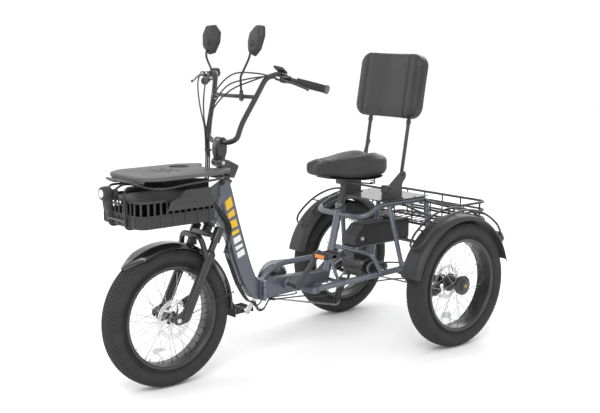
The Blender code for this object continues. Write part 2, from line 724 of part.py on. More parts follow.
def build_recline_lever():
    x = -0.1470
    eye = rod((x - 0.002, -0.094, 0.774), (x + 0.002, -0.094, 0.774), 0.011, 10)
    arm = prism([(x - 0.002, -0.102, 0.776), (x - 0.002, -0.058, 0.905), (x - 0.002, -0.034, 0.902),
                 (x - 0.002, -0.086, 0.772)], (0.004, 0, 0))
    tip = rod((x - 0.002, -0.046, 0.903), (x + 0.002, -0.046, 0.903), 0.012, 12)
    hole = rod((x - 0.01, -0.046, 0.903), (x + 0.01, -0.046, 0.903), 0.0055, 10)
    return fuse([eye, arm, tip], [hole])


def build_jackshaft():
    shaft = rod(MOTOR + Vector((-0.078, 0, 0)), MOTOR + Vector((0.114, 0, 0)), 0.0062, 12)
    rotor = rod(MOTOR + Vector((-0.020, 0, 0)), MOTOR + Vector((0.058, 0, 0)), 0.0288, 14)
    freewheel = rod(MOTOR + Vector((CHAIN_X - 0.0025, 0, 0)), MOTOR + Vector((CHAIN_X + 0.0025, 0, 0)),
                    INPUT_R - CHAIN_HALF - 0.0010, 14)
    sprocket = rod(MOTOR + Vector((DRIVE_X - 0.0025, 0, 0)), MOTOR + Vector((DRIVE_X + 0.0025, 0, 0)),
                   OUTPUT_R - CHAIN_HALF - 0.0010, 14)
    return fuse([shaft, rotor, freewheel, sprocket])


def build_axle_carrier():
    case = drum([(0.016, 0.0665), (0.030, 0.072), (0.030, 0.100), (0.026, 0.118), (0.026, 0.140), (0.016, 0.1435)],
                REAR_AXLE, segments=16)
    sprocket = rod(REAR_AXLE + Vector((DRIVE_X - 0.0025, 0, 0)), REAR_AXLE + Vector((DRIVE_X + 0.0025, 0, 0)),
                   AXLE_SPROCKET_R - CHAIN_HALF - 0.0010, 28)
    bore_r = AXLE_R / math.cos(math.pi / 20) + 0.0002
    bore = rod(REAR_AXLE + Vector((0.05, 0, 0)), REAR_AXLE + Vector((0.16, 0, 0)), bore_r, 20)
    return fuse([case, sprocket], [bore])


def crank_end(side, x):
    """Pedal eye of one crank."""
    angle = math.radians(CRANK_ANGLE)
    return CRANK + Vector((x * side, side * CRANK_LENGTH * math.cos(angle), side * CRANK_LENGTH * math.sin(angle)))


def build_crankset():
    spindle = rod(CRANK + Vector((-0.112, 0, 0)), CRANK + Vector((0.112, 0, 0)), 0.0085, 12)
    solids = [spindle]
    for side in (1, -1):
        hub_low = CRANK + Vector((side * 0.088, 0, 0))
        hub_high = CRANK + Vector((side * 0.114, 0, 0))
        end = crank_end(side, 0.117)
        solids.append(rod(hub_low, hub_high, 0.0170, 14))
        along = end - (CRANK + Vector((side * 0.103, 0, 0)))
        arm = sweep([CRANK + Vector((side * 0.103, 0, 0)), CRANK + Vector((side * 0.103, 0, 0)) + along * 0.5, end],
                    [0.0135, 0.0115, 0.0105], 6, flat=0.6)
        solids.append(arm)
        solids.append(rod(end + Vector((-side * 0.008, 0, 0)), end + Vector((side * 0.008, 0, 0)), 0.0135, 12))
    holes = []
    for side in (1, -1):
        end = crank_end(side, 0.117)
        holes.append(rod(end + Vector((-0.02, 0, 0)), end + Vector((0.02, 0, 0)), 0.0062, 10))
    return fuse(solids, holes)


def build_chainring():
    outer = RING_R - CHAIN_HALF - 0.0015
    ring = revolve([(outer - 0.012, CHAIN_X - 0.002), (outer, CHAIN_X - 0.002), (outer, CHAIN_X + 0.002),
                    (outer - 0.012, CHAIN_X + 0.002)], CRANK, segments=26)
    arms = []
    for k in range(5):
        angle = 2 * math.pi * k / 5 + 0.35
        out = Vector((0, math.cos(angle), math.sin(angle)))
        start = CRANK + Vector((CHAIN_X, 0, 0)) + out * 0.024
        arms.append(sweep([start, start + out * (outer - 0.008 - 0.024)], 0.0075, 4, flat=0.5))
    bore = rod(CRANK + Vector((-0.2, 0, 0)), CRANK + Vector((-0.0465, 0, 0)), 0.0088, 12)
    hub = rod(CRANK + Vector((-0.0865, 0, 0)), CRANK + Vector((-0.0600, 0, 0)), 0.0260, 12)
    return fuse([ring, hub] + arms, [bore])


def build_pedal(side):
    centre = crank_end(side, 0.117)
    spin = rod(centre + Vector((side * -0.006, 0, 0)), centre + Vector((side * 0.030, 0, 0)), 0.0055, 10)
    low = centre + Vector((min(side * 0.014, side * 0.105), -0.046, -0.012))
    high = centre + Vector((max(side * 0.014, side * 0.105), 0.046, 0.012))
    platform = block(low, high, 0.005)
    windows = []
    for y in (-0.023, 0.023):
        windows.append(block((low.x + 0.012, centre.y + y - 0.013, centre.z - 0.03),
                             (high.x - 0.012, centre.y + y + 0.013, centre.z + 0.03)))
    return fuse([spin, fuse([platform], windows)])


# Front frame with its rack and basket


def build_front_frame():
    tube = side_plate([(-1.000, 0.815), (-1.040, 0.768), (-1.022, 0.640), (-0.992, 0.525), (-0.966, 0.444),
                       (-0.932, 0.366), (-0.885, 0.302), (-0.852, 0.286), (-0.852, 0.374), (-0.870, 0.398),
                       (-0.892, 0.445), (-0.944, 0.614), (-0.994, 0.800)], -0.027, 0.027, 0.006)
    gusset = side_plate([(-1.020, 0.800), (-1.062, 0.780), (-1.100, 0.700), (-1.080, 0.655), (-1.060, 0.648),
                         (-1.000, 0.580), (-0.980, 0.640)], -0.020, 0.020, 0.004)
    head = rod(steer_point(0.022), steer_point(0.222), 0.0255, 14)
    plate = block((-0.038, -0.8550, 0.286), (0.038, -0.8422, 0.376), 0.002)
    knuckles = []
    for low in (-0.043, 0.0165):
        knuckles.append(rod(FOLD_PIN + Vector((0, 0, low)), FOLD_PIN + Vector((0, 0, low + 0.0265)), 0.009, 12))
        knuckles.append(block((0.030, -0.8515, 0.330 + low), (0.047, -0.8435, 0.330 + low + 0.0265)))
    latch_ears = [block((-0.052, -0.852, 0.3525), (-0.034, -0.8425, 0.3625)),
                  block((-0.052, -0.852, 0.2975), (-0.034, -0.8425, 0.3075))]
    cuts = [rod(steer_point(-0.02), steer_point(0.30), 0.0150, 12),
            block((0.030, -0.8560, 0.3137), (0.062, -0.8330, 0.3463))]
    fused = fuse([tube, gusset, head, plate] + knuckles + latch_ears, cuts)
    pin = rod(FOLD_PIN + Vector((0, 0, -0.044)), FOLD_PIN + Vector((0, 0, 0.044)), 0.0048, 12)
    return fuse([fused, pin])


def build_rack():
    wire = 0.0048
    side_rail = [(0.030, -1.052, 0.846), (0.100, -1.085, 0.852), (0.156, -1.150, 0.856), (0.166, -1.300, 0.852),
                 (0.160, -1.400, 0.842), (0.128, -1.455, 0.842), (0.108, -1.518, 0.868)]
    ring = side_rail + [(-x, y, z) for x, y, z in reversed(side_rail)]
    solids = [sweep(bend(ring, 0.022, 1), wire, 4)]
    for side in (1, -1):
        hoop = [(side * 0.060, -1.450, 0.845), (side * 0.060, -1.5285, 0.845), (side * 0.060, -1.5285, 0.683),
                (side * 0.060, -1.146, 0.683)]
        solids.append(sweep(bend(hoop, 0.008, 1), wire, 4))
        solids.append(rod((side * 0.0320, -1.150, 0.684), (side * 0.0320, -1.080, 0.668), wire, 4))
        solids.append(rod((side * 0.150, -1.442, 0.842), (side * 0.050, -1.450, 0.845), wire, 4))
    solids.append(rod((-0.14, -1.452, 0.843), (0.14, -1.452, 0.843), wire, 4))
    solids.append(rod((-0.060, -1.529, 0.780), (0.060, -1.529, 0.780), wire, 4))
    solids.append(rod((-0.062, -1.146, 0.683), (0.062, -1.146, 0.683), wire, 4))
    solids.append(block((-0.015, -1.548, 0.795), (0.015, -1.526, 0.835), 0.002))
    solids.append(rod((0, -1.535, 0.830), (0, -1.452, 0.843), wire, 4))
    clamp = fuse([block((-0.034, -1.075, 0.838), (0.034, -1.032, 0.856), 0.002)],
                 [rod(steer_point(0.18), steer_point(0.26), 0.0262, 14)])
    solids.append(clamp)
    return fuse(solids)


def build_tub():
    """Open plastic tub with rounded corners, ribs and a band of windows."""
    def outline(x, front, back, radius):
        points = bend([(x, front, 0), (x, back, 0), (-x, back, 0), (-x, front, 0)], radius, 3, closed=True)
        return [(p.x, p.y) for p in points]

    outer = level_plate(outline(0.150, -1.518, -1.150, 0.045), 0.6885, 0.800)
    inner = level_plate(outline(0.1465, -1.5145, -1.1535, 0.042), 0.692, 0.82)
    windows = []
    for k in range(3):
        x = -0.064 + 0.064 * k
        windows.append(block((x - 0.022, -1.53, 0.766), (x + 0.022, -1.50, 0.792)))
    for k in range(4):
        y = -1.445 + 0.074 * k
        windows.append(block((-0.16, y - 0.024, 0.766), (0.16, y + 0.024, 0.792)))
    tub = fuse([outer], [inner] + windows)
    panel = build_side_panel()
    return fuse([tub, panel, mirrored(panel)])


def build_side_panel():
    """Thin outer panel on the left, bent in towards the head tube, on two feet."""
    outline = [(0.174, -1.405), (0.174, -1.200), (0.050, -1.062), (0.036, -1.062), (0.1705, -1.2015),
               (0.1705, -1.405)]
    plate = level_plate(outline, 0.757, 0.832)
    feet = [block((0.148, y, 0.7440), (0.172, y + 0.012, 0.7585)) for y in (-1.376, -1.256)]
    return fuse([plate] + feet)


def build_headlamp():
    shell = drum([(0.014, 0.0), (0.026, 0.006), (0.027, 0.030), (0.020, 0.042)], (0, -1.5945, 0.824), (0, 1, 0), 14)
    neck = block((-0.012, -1.560, 0.806), (0.012, -1.5485, 0.828), 0.002)
    lower = prism([(-0.022, -1.584, 0.815), (-0.022, -1.556, 0.815), (-0.020, -1.552, 0.748), (-0.020, -1.578, 0.748)],
                  (0.042, 0, 0), 0.005)
    return fuse([shell, neck, lower])


def build_lid():
    """Flat lid, notched at the rear for the stem and its cables, with a sunken cup and slots."""
    half = [(0.110, -1.497), (0.160, -1.430), (0.160, -1.150), (0.112, -1.058), (0.092, -1.058),
            (0.062, -1.096), (0.034, -1.116)]
    outline = half + [(-x, y) for x, y in reversed(half)]
    plate = level_plate(outline, 0.8770, 0.8870, 0.0015)
    cup = rod((-0.070, -1.190, 0.8810), (-0.070, -1.190, 0.90), 0.043, 14)
    skirt = block((-0.115, -1.482, 0.8600), (0.115, -1.470, 0.8780))
    slots = [block((-0.055, y, 0.8840), (0.055, y + 0.008, 0.90)) for y in (-1.340, -1.316, -1.292, -1.268)]
    return fuse([plate, skirt], [cup] + slots)


def build_fold_latch():
    """Lever with a pivot eye that hooks over the hinge plates on the right."""
    eye = rod(LATCH_PIN + Vector((-0.004, 0, -0.0215)), LATCH_PIN + Vector((-0.004, 0, 0.0215)), 0.0055, 12)
    x = LATCH_PIN.x - 0.001
    arm = prism([(x, -0.842, 0.320), (x, -0.806, 0.318), (x, -0.800, 0.336), (x, -0.842, 0.340)], (-0.006, 0, 0), 0.0015)
    return fuse([eye, arm])


def build_frame_cables():
    """Three cables past the left of the head tube and down the front of the main tube, tied together."""
    cables = []
    for k in range(3):
        across = -0.012 + 0.012 * k
        back = 0.007 * k
        route = [(across, -1.098, 0.868), (across, -1.104, 0.800), (0.026, -1.101 + back, 0.745),
                 (0.0315, -1.066 + back, 0.700), (0.0315, -1.022 + back, 0.640), (0.0315, -1.020 + back, 0.600),
                 (0.026, -1.022 + back * 0.5, 0.560), (across, -1.004, 0.512), (across, -0.980, 0.445),
                 (across, -0.944, 0.362), (across, -0.895, 0.290), (across, -0.862, 0.274)]
        cables.append(sweep(smooth_route(route, 15), 0.0026, 4))
    ties = [block((-0.018, -1.0985, 0.850), (0.018, -1.0935, 0.858)),
            block((-0.018, -1.0080, 0.5080), (0.018, -1.0000, 0.5180)),
            block((-0.018, -0.9480, 0.3580), (0.018, -0.9410, 0.3680))]
    return fuse(cables + ties)


# Steering


def build_fork_crown():
    steerer = rod(steer_point(-0.018), steer_point(0.292), 0.0143, 12)
    crown = steering_box(LEG_X + 0.010, -0.038, -0.012, -0.018, 0.020, 0.004)
    collar = rod(steer_point(-0.014), steer_point(0.0215), 0.0200, 12)
    solids = [crown, steerer, collar]
    for side in (1, -1):
        x = side * LEG_X
        solids.append(rod(steer_point(-0.048, 0, x), steer_point(0.012, 0, x), 0.0205, 10))
        solids.append(rod(steer_point(-0.205, 0, x), steer_point(0.0, 0, x), STANCHION_R, 10))
    return fuse(solids)


def build_stem_block():
    case = steering_box(0.0245, 0.2345, 0.2921, -0.027, 0.042, 0.003)
    ears = []
    for low in (-0.0300, 0.0175):
        x = low
        ears.append(rod(STEM_PIVOT + Vector((x, 0, 0)), STEM_PIVOT + Vector((x + 0.0125, 0, 0)), 0.0185, 12))
        web = [steer_point(p, q, x + 0.0004) for p, q in ((0.247, 0.030), (0.284, 0.030), (0.284, 0.066), (0.253, 0.066))]
        ears.append(prism(web, (0.0117, 0, 0)))
    gap_cut = rod(STEM_PIVOT + Vector((-0.0172, 0, 0)), STEM_PIVOT + Vector((0.0172, 0, 0)), 0.0222, 14)
    spacer = rod(steer_point(0.2225), steer_point(0.240), 0.0198, 12)
    fused = fuse([case, spacer] + ears, [rod(steer_point(0.20), steer_point(0.2935), 0.0147, 12), gap_cut])
    return fuse([fused, rod(STEM_PIVOT + Vector((-0.028, 0, 0)), STEM_PIVOT + Vector((0.028, 0, 0)), 0.0048, 10)])


def build_fork_lowers():
    solids = []
    cuts = []
    for side in (1, -1):
        x = side * LEG_X
        solids.append(rod(steer_point(-0.385, 0, x), steer_point(-0.100, 0, x), LEG_R, 16, LEG_R))
        solids.append(rod(steer_point(-0.112, 0, x), steer_point(-0.096, 0, x), LEG_R + 0.0025, 10))
        low = x - 0.006
        solids.append(side_plate([(-1.268, 0.272), (-1.300, 0.268), (-1.330, 0.283), (-1.330, 0.300), (-1.300, 0.316),
                                  (-1.262, 0.330)], low, low + 0.012, 0.002))
        cuts.append(rod(steer_point(-0.270, 0, x), steer_point(-0.05, 0, x), STANCHION_R + 0.0006, 10))
        cuts.append(rod((x - 0.05, FRONT_AXLE.y, WHEEL_R), (x + 0.05, FRONT_AXLE.y, WHEEL_R), AXLE_R + GAP, 12))
    arch = bend([steer_point(-0.118, 0.010, LEG_X), steer_point(-0.085, 0.042, LEG_X + 0.002),
                 steer_point(-0.052, 0.064, LEG_X - 0.012), steer_point(-0.052, 0.064, -LEG_X + 0.012),
                 steer_point(-0.085, 0.042, -LEG_X - 0.002), steer_point(-0.118, 0.010, -LEG_X)], 0.03, 2)
    solids.append(sweep(arch, 0.0115, 6))
    solids.append(block((ROTOR_OFFSET - 0.0115, -1.262, 0.322), (ROTOR_OFFSET + 0.0115, -1.220, 0.374), 0.004))
    cuts.append(block((ROTOR_OFFSET - 0.0027, -1.28, 0.30), (ROTOR_OFFSET + 0.0027, -1.226, 0.40)))
    return fuse(solids, cuts)



def build_front_fender():
    """Curved guard with a pointed front, a flap behind, a tab for the arch and two wire stays."""
    half = 0.056
    outer = [(-half, -0.020), (-0.040, 0.0), (0.040, 0.0), (half, -0.020)]
    inside = 0.3060
    outside = 0.3090
    profile = [(outside + drop, across) for across, drop in outer]
    profile += [(inside + drop, across * 0.95) for across, drop in reversed(outer)]
    band = revolve(profile, FRONT_AXLE, segments=13, start=math.radians(-2), sweep_angle=math.radians(127))
    tip_angle = math.radians(121)
    tip_end = math.radians(133)
    tip = []
    for angle, across in ((tip_angle, -0.034), (tip_angle, 0.034), (tip_end, 0.008), (tip_end, -0.008)):
        tip.append(Vector((across, FRONT_AXLE.y + 0.3085 * math.cos(angle), WHEEL_R + 0.3085 * math.sin(angle))))
    point = prism(tip, Vector((0, -math.cos(tip_angle), -math.sin(tip_angle))) * 0.0025)
    tab = block((-0.012, -1.193, 0.566), (0.012, -1.165, 0.5990))
    flap = prism([(-0.040, -1.0035, 0.300), (0.040, -1.0035, 0.300), (0.046, -0.996, 0.236),
                  (-0.046, -0.996, 0.236)], (0, 0.0022, 0))
    stays = []
    for side in (1, -1):
        stays.append(rod((side * 0.0540, -1.0130, 0.353), (side * 0.0735, -1.2420, 0.302), 0.0018, 4))
    return fuse([band, point, tab, flap] + stays)


def build_front_axle():
    shaft = rod(FRONT_AXLE + Vector((-0.098, 0, 0)), FRONT_AXLE + Vector((0.098, 0, 0)), AXLE_R, 12)
    nuts = [rod(FRONT_AXLE + Vector((s * 0.0865, 0, 0)), FRONT_AXLE + Vector((s * 0.096, 0, 0)), 0.0105, 6)
            for s in (1, -1)]
    return fuse([shaft] + nuts)


# Wheels


def turned(centre, side, profile, segments):
    """Solid of revolution on a wheel's axis; heights in the profile run outwards from its middle."""
    return drum([(r, h * side) for r, h in profile], centre, (1, 0, 0), segments)


def build_tyre(centre):
    outer = [(0.2018, 0.0386), (0.2132, 0.0408), (0.2320, TYRE_HALF), (0.2700, 0.0440), (WHEEL_R, 0.0130)]
    inner = [(0.2780, 0.0110), (0.2018, 0.0330)]
    profile = outer + [(r, -x) for r, x in reversed(outer)]
    profile += [(r, -x) for r, x in reversed(inner)] + inner
    return revolve(profile, centre, segments=32, start=-math.pi / 2)


def build_rim(centre):
    """Wide rim with turned-up edges."""
    profile = [(0.2125, RIM_HALF), (0.2125, 0.0415), (0.2015, 0.0395), (0.2015, -0.0395), (0.2125, -0.0415),
               (0.2125, -RIM_HALF), (0.1965, -0.0435), (0.1965, 0.0435)]
    return revolve(profile, centre, segments=32, start=-math.pi / 2)


def rotor(centre, x):
    """Perforated brake disc reduced to its ring, with five arms to the hub."""
    place_at = centre + Vector((x, 0, 0))
    ring = revolve([(0.064, -0.001), (ROTOR_R, -0.001), (ROTOR_R, 0.001), (0.064, 0.001)], place_at, segments=20)
    arms = []
    for k in range(4):
        angle = 2 * math.pi * k / 4 + 0.3
        out = Vector((0, math.cos(angle), math.sin(angle)))
        across = Vector((0, -out.z, out.y)) * 0.006
        outline = [place_at + out * 0.018 - across, place_at + out * 0.066 - across * 0.6,
                   place_at + out * 0.066 + across * 0.6, place_at + out * 0.018 + across]
        arms.append(prism([p - Vector((0.0009, 0, 0)) for p in outline], (0.0018, 0, 0)))
    return [ring] + arms


def build_front_hub():
    profile = [(0.0115, -0.070), (0.0115, -0.042), (0.028, -0.036), (0.018, -0.027), (0.018, 0.027),
               (0.028, 0.036), (0.022, 0.041), (0.022, 0.0565), (0.0115, 0.058), (0.0115, 0.070)]
    shell = turned(FRONT_AXLE, 1, profile, 12)
    bore = rod(FRONT_AXLE + Vector((-0.09, 0, 0)), FRONT_AXLE + Vector((0.09, 0, 0)), AXLE_R + 0.0005, 12)
    return fuse([shell] + rotor(FRONT_AXLE, ROTOR_OFFSET), [bore])


def build_rear_hub(centre, side):
    profile = [(0.0115, -0.086), (0.0115, -0.060), (0.026, -0.0565), (0.026, -0.040), (0.042, -0.036),
               (0.030, -0.028), (0.030, 0.028), (0.042, 0.036), (0.044, 0.052), (0.024, 0.0545), (0.024, 0.0600),
               (0.010, 0.0635)]
    shell = turned(centre, side, profile, 12)
    inner_end = centre.x * side - (0.1085 if side > 0 else -0.1015)
    shaft = rod(centre + Vector((-side * inner_end, 0, 0)), centre + Vector((side * 0.050, 0, 0)), AXLE_R, 12)
    return fuse([shell, shaft] + rotor(centre, -side * ROTOR_OFFSET))


# Handlebar and its controls


def bar_point(along, side=1, forward=0.0, up=0.0):
    """Point measured outwards along a grip section from the top bend, ahead of it and above it."""
    axis = (BAR_END - BAR_TOP).normalized()
    ahead = axis.cross(Vector((0, 0, 1))).normalized()
    above = ahead.cross(axis).normalized() * -1
    if above.z < 0:
        above = -above
    point = BAR_TOP + axis * along + ahead * forward + above * up
    return Vector((point.x * side, point.y, point.z))



def build_stem_riser():
    knuckle = rod(STEM_PIVOT + Vector((-0.0165, 0, 0)), STEM_PIVOT + Vector((0.0165, 0, 0)), 0.0180, 12)
    neck = side_plate([(-1.055, 0.900), (-1.058, 0.930), (-1.018, 0.930), (-1.026, 0.900)], -0.0160, 0.0160)
    column = side_plate([(-1.064, 0.923), (-1.063, 0.966), (-1.050, 0.984), (-1.016, 0.984), (-1.008, 0.966),
                         (-1.008, 0.941), (-1.022, 0.923)], -0.0225, 0.0225, 0.004)
    clamp = rod(BAR_CLAMP + Vector((-0.0225, 0, 0)), BAR_CLAMP + Vector((0.0225, 0, 0)), 0.0185, 12)
    bores = [rod(STEM_PIVOT + Vector((-0.03, 0, 0)), STEM_PIVOT + Vector((0.03, 0, 0)), 0.0053, 12),
             rod(BAR_CLAMP + Vector((-0.03, 0, 0)), BAR_CLAMP + Vector((0.03, 0, 0)), BAR_R + 0.0009, 12)]
    return fuse([knuckle, neck, column, clamp], bores)


def build_handlebar():
    half = [(0.062, -1.033, 0.984), (0.100, -1.020, 1.000), (0.111, -1.005, 1.061), (0.144, -0.957, 1.167),
            tuple(BAR_TOP), tuple(BAR_END)]
    route = [(-x, y, z) for x, y, z in reversed(half)] + half
    bar = sweep(bend(route, 0.026, 2), BAR_R, 6)
    cross = sweep(smooth_route([(-0.146, -0.955, 1.170), (-0.095, -0.988, 1.172), (0, -1.002, 1.172),
                                (0.095, -0.988, 1.172), (0.146, -0.955, 1.170)], 7), 0.0080, 6)
    bosses = []
    for side in (1, -1):
        foot = Vector((side * MIRROR_FOOT.x, MIRROR_FOOT.y, MIRROR_FOOT.z))
        bosses.append(rod(foot - Vector((0, 0, 0.016)), foot - Vector((0, 0, 0.0005)), 0.009, 10))
    return fuse([bar, cross] + bosses)


def build_grip(side):
    """Grip with two end rings, closed at the end of the bar."""
    start = bar_point(0.1345)
    end = bar_point((BAR_END - BAR_TOP).length + 0.0030)
    along = (end - start).normalized()
    length = (end - start).length
    profile = [(0.0165, 0.0), (0.0165, 0.006), (0.0150, 0.009), (0.0160, 0.050), (0.0160, 0.090),
               (0.0150, length - 0.010), (0.0178, length - 0.007), (0.0178, length)]
    bore = rod(start - along * 0.01, bar_point((BAR_END - BAR_TOP).length + GAP), BAR_R + 0.0009, 12)
    return on_side(fuse([drum(profile, start, along, 12)], [bore]), side)


def build_controls(side):
    """Brake clamp with the lever's ears, joined to the display on the left or the switch box on the right."""
    rise = bar_point(0.0, 1, 0.0, 0.0045) - bar_point(0.0)
    solids = [rod(bar_point(0.0395), bar_point(0.102), 0.0150, 12)]
    for up in (-0.0120, 0.0075):
        corners = [bar_point(0.070, 1, 0.008, up), bar_point(0.104, 1, 0.008, up), bar_point(0.098, 1, 0.041, up),
                   bar_point(0.076, 1, 0.041, up)]
        solids.append(prism(corners, rise))
    if side > 0:
        screen = [bar_point(0.038, 1, 0.030, 0.018), bar_point(0.066, 1, 0.030, 0.018),
                  bar_point(0.066, 1, -0.022, 0.026), bar_point(0.038, 1, -0.022, 0.026)]
        neck = [bar_point(0.044, 1, 0.006, 0.010), bar_point(0.060, 1, 0.006, 0.010),
                bar_point(0.060, 1, -0.006, 0.010), bar_point(0.044, 1, -0.006, 0.010)]
        solids.append(prism(screen, rise * 2.6, 0.002))
        solids.append(prism(neck, rise * 2.8))
    else:
        box_base = [bar_point(0.030, 1, 0.016, -0.016), bar_point(0.066, 1, 0.016, -0.016),
                    bar_point(0.066, 1, -0.024, -0.016), bar_point(0.030, 1, -0.024, -0.016)]
        solids.append(prism(box_base, rise * 7.5, 0.004))
    made = fuse(solids, [rod(bar_point(0.02), bar_point(0.115), BAR_R + 0.0009, 12)])
    return on_side(made, side)


def build_brake_lever(side):
    eye = rod(bar_point(0.086, 1, 0.032, -0.0070), bar_point(0.086, 1, 0.032, 0.0070), 0.0075, 12)
    path = [bar_point(0.086, 1, 0.032), bar_point(0.112, 1, 0.052), bar_point(0.150, 1, 0.058, -0.002),
            bar_point(0.205, 1, 0.064, -0.008), bar_point(0.214, 1, 0.068, -0.008)]
    blade = sweep(path, [0.0055, 0.0055, 0.0050, 0.0050, 0.0055], 8, flat=0.8)
    return on_side(fuse([eye, blade]), side)


def build_throttle():
    """Thumb paddle on a ring round the bar."""
    ring = rod(bar_point(0.108, -1), bar_point(0.120, -1), 0.0160, 14)
    paddle = prism([bar_point(0.109, -1, 0.004, -0.013), bar_point(0.119, -1, 0.004, -0.013),
                    bar_point(0.128, -1, -0.020, -0.030), bar_point(0.116, -1, -0.020, -0.030)],
                   bar_point(0, -1, -0.007, 0.0) - bar_point(0, -1))
    return fuse([ring, paddle], [rod(bar_point(0.10, -1), bar_point(0.13, -1), BAR_R + 0.0009, 14)])


def build_mirror(side):
    foot = MIRROR_FOOT
    stem = sweep(bend([foot, foot + Vector((0, -0.003, 0.064)), (0.146, -0.992, 1.322), (0.152, -0.972, 1.372)],
                      0.02, 3), 0.0048, 8)
    base = rod(foot, foot + Vector((0, 0, 0.010)), 0.0085, 10)
    face = Vector((0.12, 0.93, -0.20)).normalized()
    middle = Vector((0.154, -0.958, 1.396))
    across = Vector((0, 0, 1)).cross(face).normalized()
    above = face.cross(across).normalized()
    if above.z < 0:
        above = -above
    if across.x < 0:
        across = -across
    shape = [(-0.046, 0.034), (-0.010, 0.064), (0.038, 0.060), (0.052, 0.022), (0.040, -0.034), (0.006, -0.064),
             (-0.030, -0.056), (-0.050, -0.010)]
    rings = []
    for depth, scale in ((-0.020, 0.50), (-0.013, 0.85), (0.004, 1.0)):
        rings.append([middle + across * (a * scale) + above * (b * scale) + face * depth for a, b in shape])
    return on_side(fuse([base, stem, rings_to_solid(rings)]), side)


def build_bar_cables():
    """Brake hoses and wires from the controls, arching forward and dropping before the riser."""
    routes = [
        [tuple(bar_point(0.066, 1, 0.030)), (0.180, -0.990, 1.262), (0.110, -1.060, 1.235), (0.045, -1.092, 1.150),
         (0.014, -1.098, 1.050), (0.012, -1.096, 0.925)],
        [tuple(bar_point(0.044, 1, 0.034, 0.004)), (0.150, -1.000, 1.240), (0.085, -1.060, 1.205),
         (0.030, -1.090, 1.120), (0.000, -1.098, 1.040), (0.000, -1.096, 0.925)],
        [tuple(bar_point(0.066, -1, 0.030)), (-0.180, -0.990, 1.262), (-0.110, -1.060, 1.235),
         (-0.045, -1.092, 1.150), (-0.014, -1.098, 1.050), (-0.012, -1.096, 0.925)],
    ]
    cables = [sweep(smooth_route(route, 10), 0.0026, 4) for route in routes]
    ties = [block((-0.018, -1.1005, z), (0.018, -1.0950, z + 0.010)) for z in (0.950, 1.030)]
    return fuse(cables + ties)


# Bodies, from the frame outwards

THROTTLE_PIVOT = bar_point(0.114, -1)
LEFT_WHEEL = Vector((HALF_TRACK, 0, WHEEL_R))
RIGHT_WHEEL = Vector((-HALF_TRACK, 0, WHEEL_R))

body("rear_frame", None, (0, 0, 0))
body("front_frame", "rear_frame", FOLD_PIN)
body("fold_latch", "front_frame", LATCH_PIN)
body("basket_lid", "front_frame", LID_HINGE)
body("steering", "front_frame", STEER_LOW)
body("stem", "steering", STEM_PIVOT)
body("left_lever", "stem", bar_point(0.086, 1, 0.032))
body("right_lever", "stem", bar_point(0.086, -1, 0.032))
body("throttle", "stem", THROTTLE_PIVOT)
body("left_mirror", "stem", MIRROR_FOOT)
body("right_mirror", "stem", Vector((-MIRROR_FOOT.x, MIRROR_FOOT.y, MIRROR_FOOT.z)))
body("fork", "steering", STEER_LOW)
body("front_wheel", "fork", FRONT_AXLE)
body("left_wheel", "rear_frame", LEFT_WHEEL)
body("right_wheel", "rear_frame", RIGHT_WHEEL)
body("crank", "rear_frame", CRANK)
body("left_pedal", "crank", crank_end(1, 0.117))
body("right_pedal", "crank", crank_end(-1, 0.117))
body("jackshaft", "rear_frame", MOTOR)
body("axle_carrier", "rear_frame", REAR_AXLE)
body("seat", "rear_frame", SEAT_TOP)
body("backrest", "rear_frame", RECLINE)
body("recline_lever", "rear_frame", RECLINE)

place("rear_frame", build_rear_frame(), "rear_frame", "frame_paint")
place("deck_plate", build_deck(), "rear_frame", "deck")
place("axle_housing_left", build_axle_housing(1), "rear_frame", "black_paint")
place("axle_housing_right", build_axle_housing(-1), "rear_frame", "black_paint")
place("battery_case", build_battery(), "rear_frame", "black_plastic")
place("motor_housing", build_motor(), "rear_frame", "black_paint")
place("drive_chain", build_drive_chain(), "rear_frame", "steel")
place("output_chain", build_output_chain(), "rear_frame", "steel")
place("derailleur", build_derailleur(), "rear_frame", "black_paint")
place("cargo_basket", build_cargo_basket(), "rear_frame", "black_paint")
place("fender_left", build_fender(1), "rear_frame", "black_plastic")
place("fender_right", build_fender(-1), "rear_frame", "black_plastic")
place("fender_rail_left", build_fender_rail(1), "rear_frame", "black_paint")
place("fender_rail_right", build_fender_rail(-1), "rear_frame", "black_paint")
place("backrest_brackets", build_backrest_brackets(), "rear_frame", "frame_paint")
place("rear_cables", build_rear_cables(), "rear_frame", "rubber")
place("seat_post", build_seat_post(), "seat", "steel")
place("saddle", build_saddle(), "seat", "vinyl")
place("backrest_posts", build_backrest_posts(), "backrest", "black_paint")
place("backrest_pad", build_backrest_pad(), "backrest", "vinyl")
place("recline_lever", build_recline_lever(), "recline_lever", "black_paint")
place("jackshaft", build_jackshaft(), "jackshaft", "steel")
place("axle_carrier", build_axle_carrier(), "axle_carrier", "steel")
place("crankset", build_crankset(), "crank", "silver")
place("chainring", build_chainring(), "crank", "black_paint")
place("pedal_left", build_pedal(1), "left_pedal", "black_plastic")
place("pedal_right", build_pedal(-1), "right_pedal", "black_plastic")
place("front_frame", build_front_frame(), "front_frame", "frame_paint")
place("rack_rails", build_rack(), "front_frame", "black_paint")
place("basket_tub", build_tub(), "front_frame", "black_plastic")
place("headlamp", build_headlamp(), "front_frame", "black_plastic")
place("frame_cables", build_frame_cables(), "front_frame", "rubber")
place("basket_lid", build_lid(), "basket_lid", "grey_plastic")
place("fold_latch", build_fold_latch(), "fold_latch", "black_paint")
place("fork_crown", build_fork_crown(), "steering", "black_paint")
place("stem_block", build_stem_block(), "steering", "black_paint")
place("stem_riser", build_stem_riser(), "stem", "black_paint")
place("handlebar", build_handlebar(), "stem", "black_paint")
place("grip_left", build_grip(1), "stem", "rubber")
place("grip_right", build_grip(-1), "stem", "rubber")
place("controls_left", build_controls(1), "stem", "black_plastic")
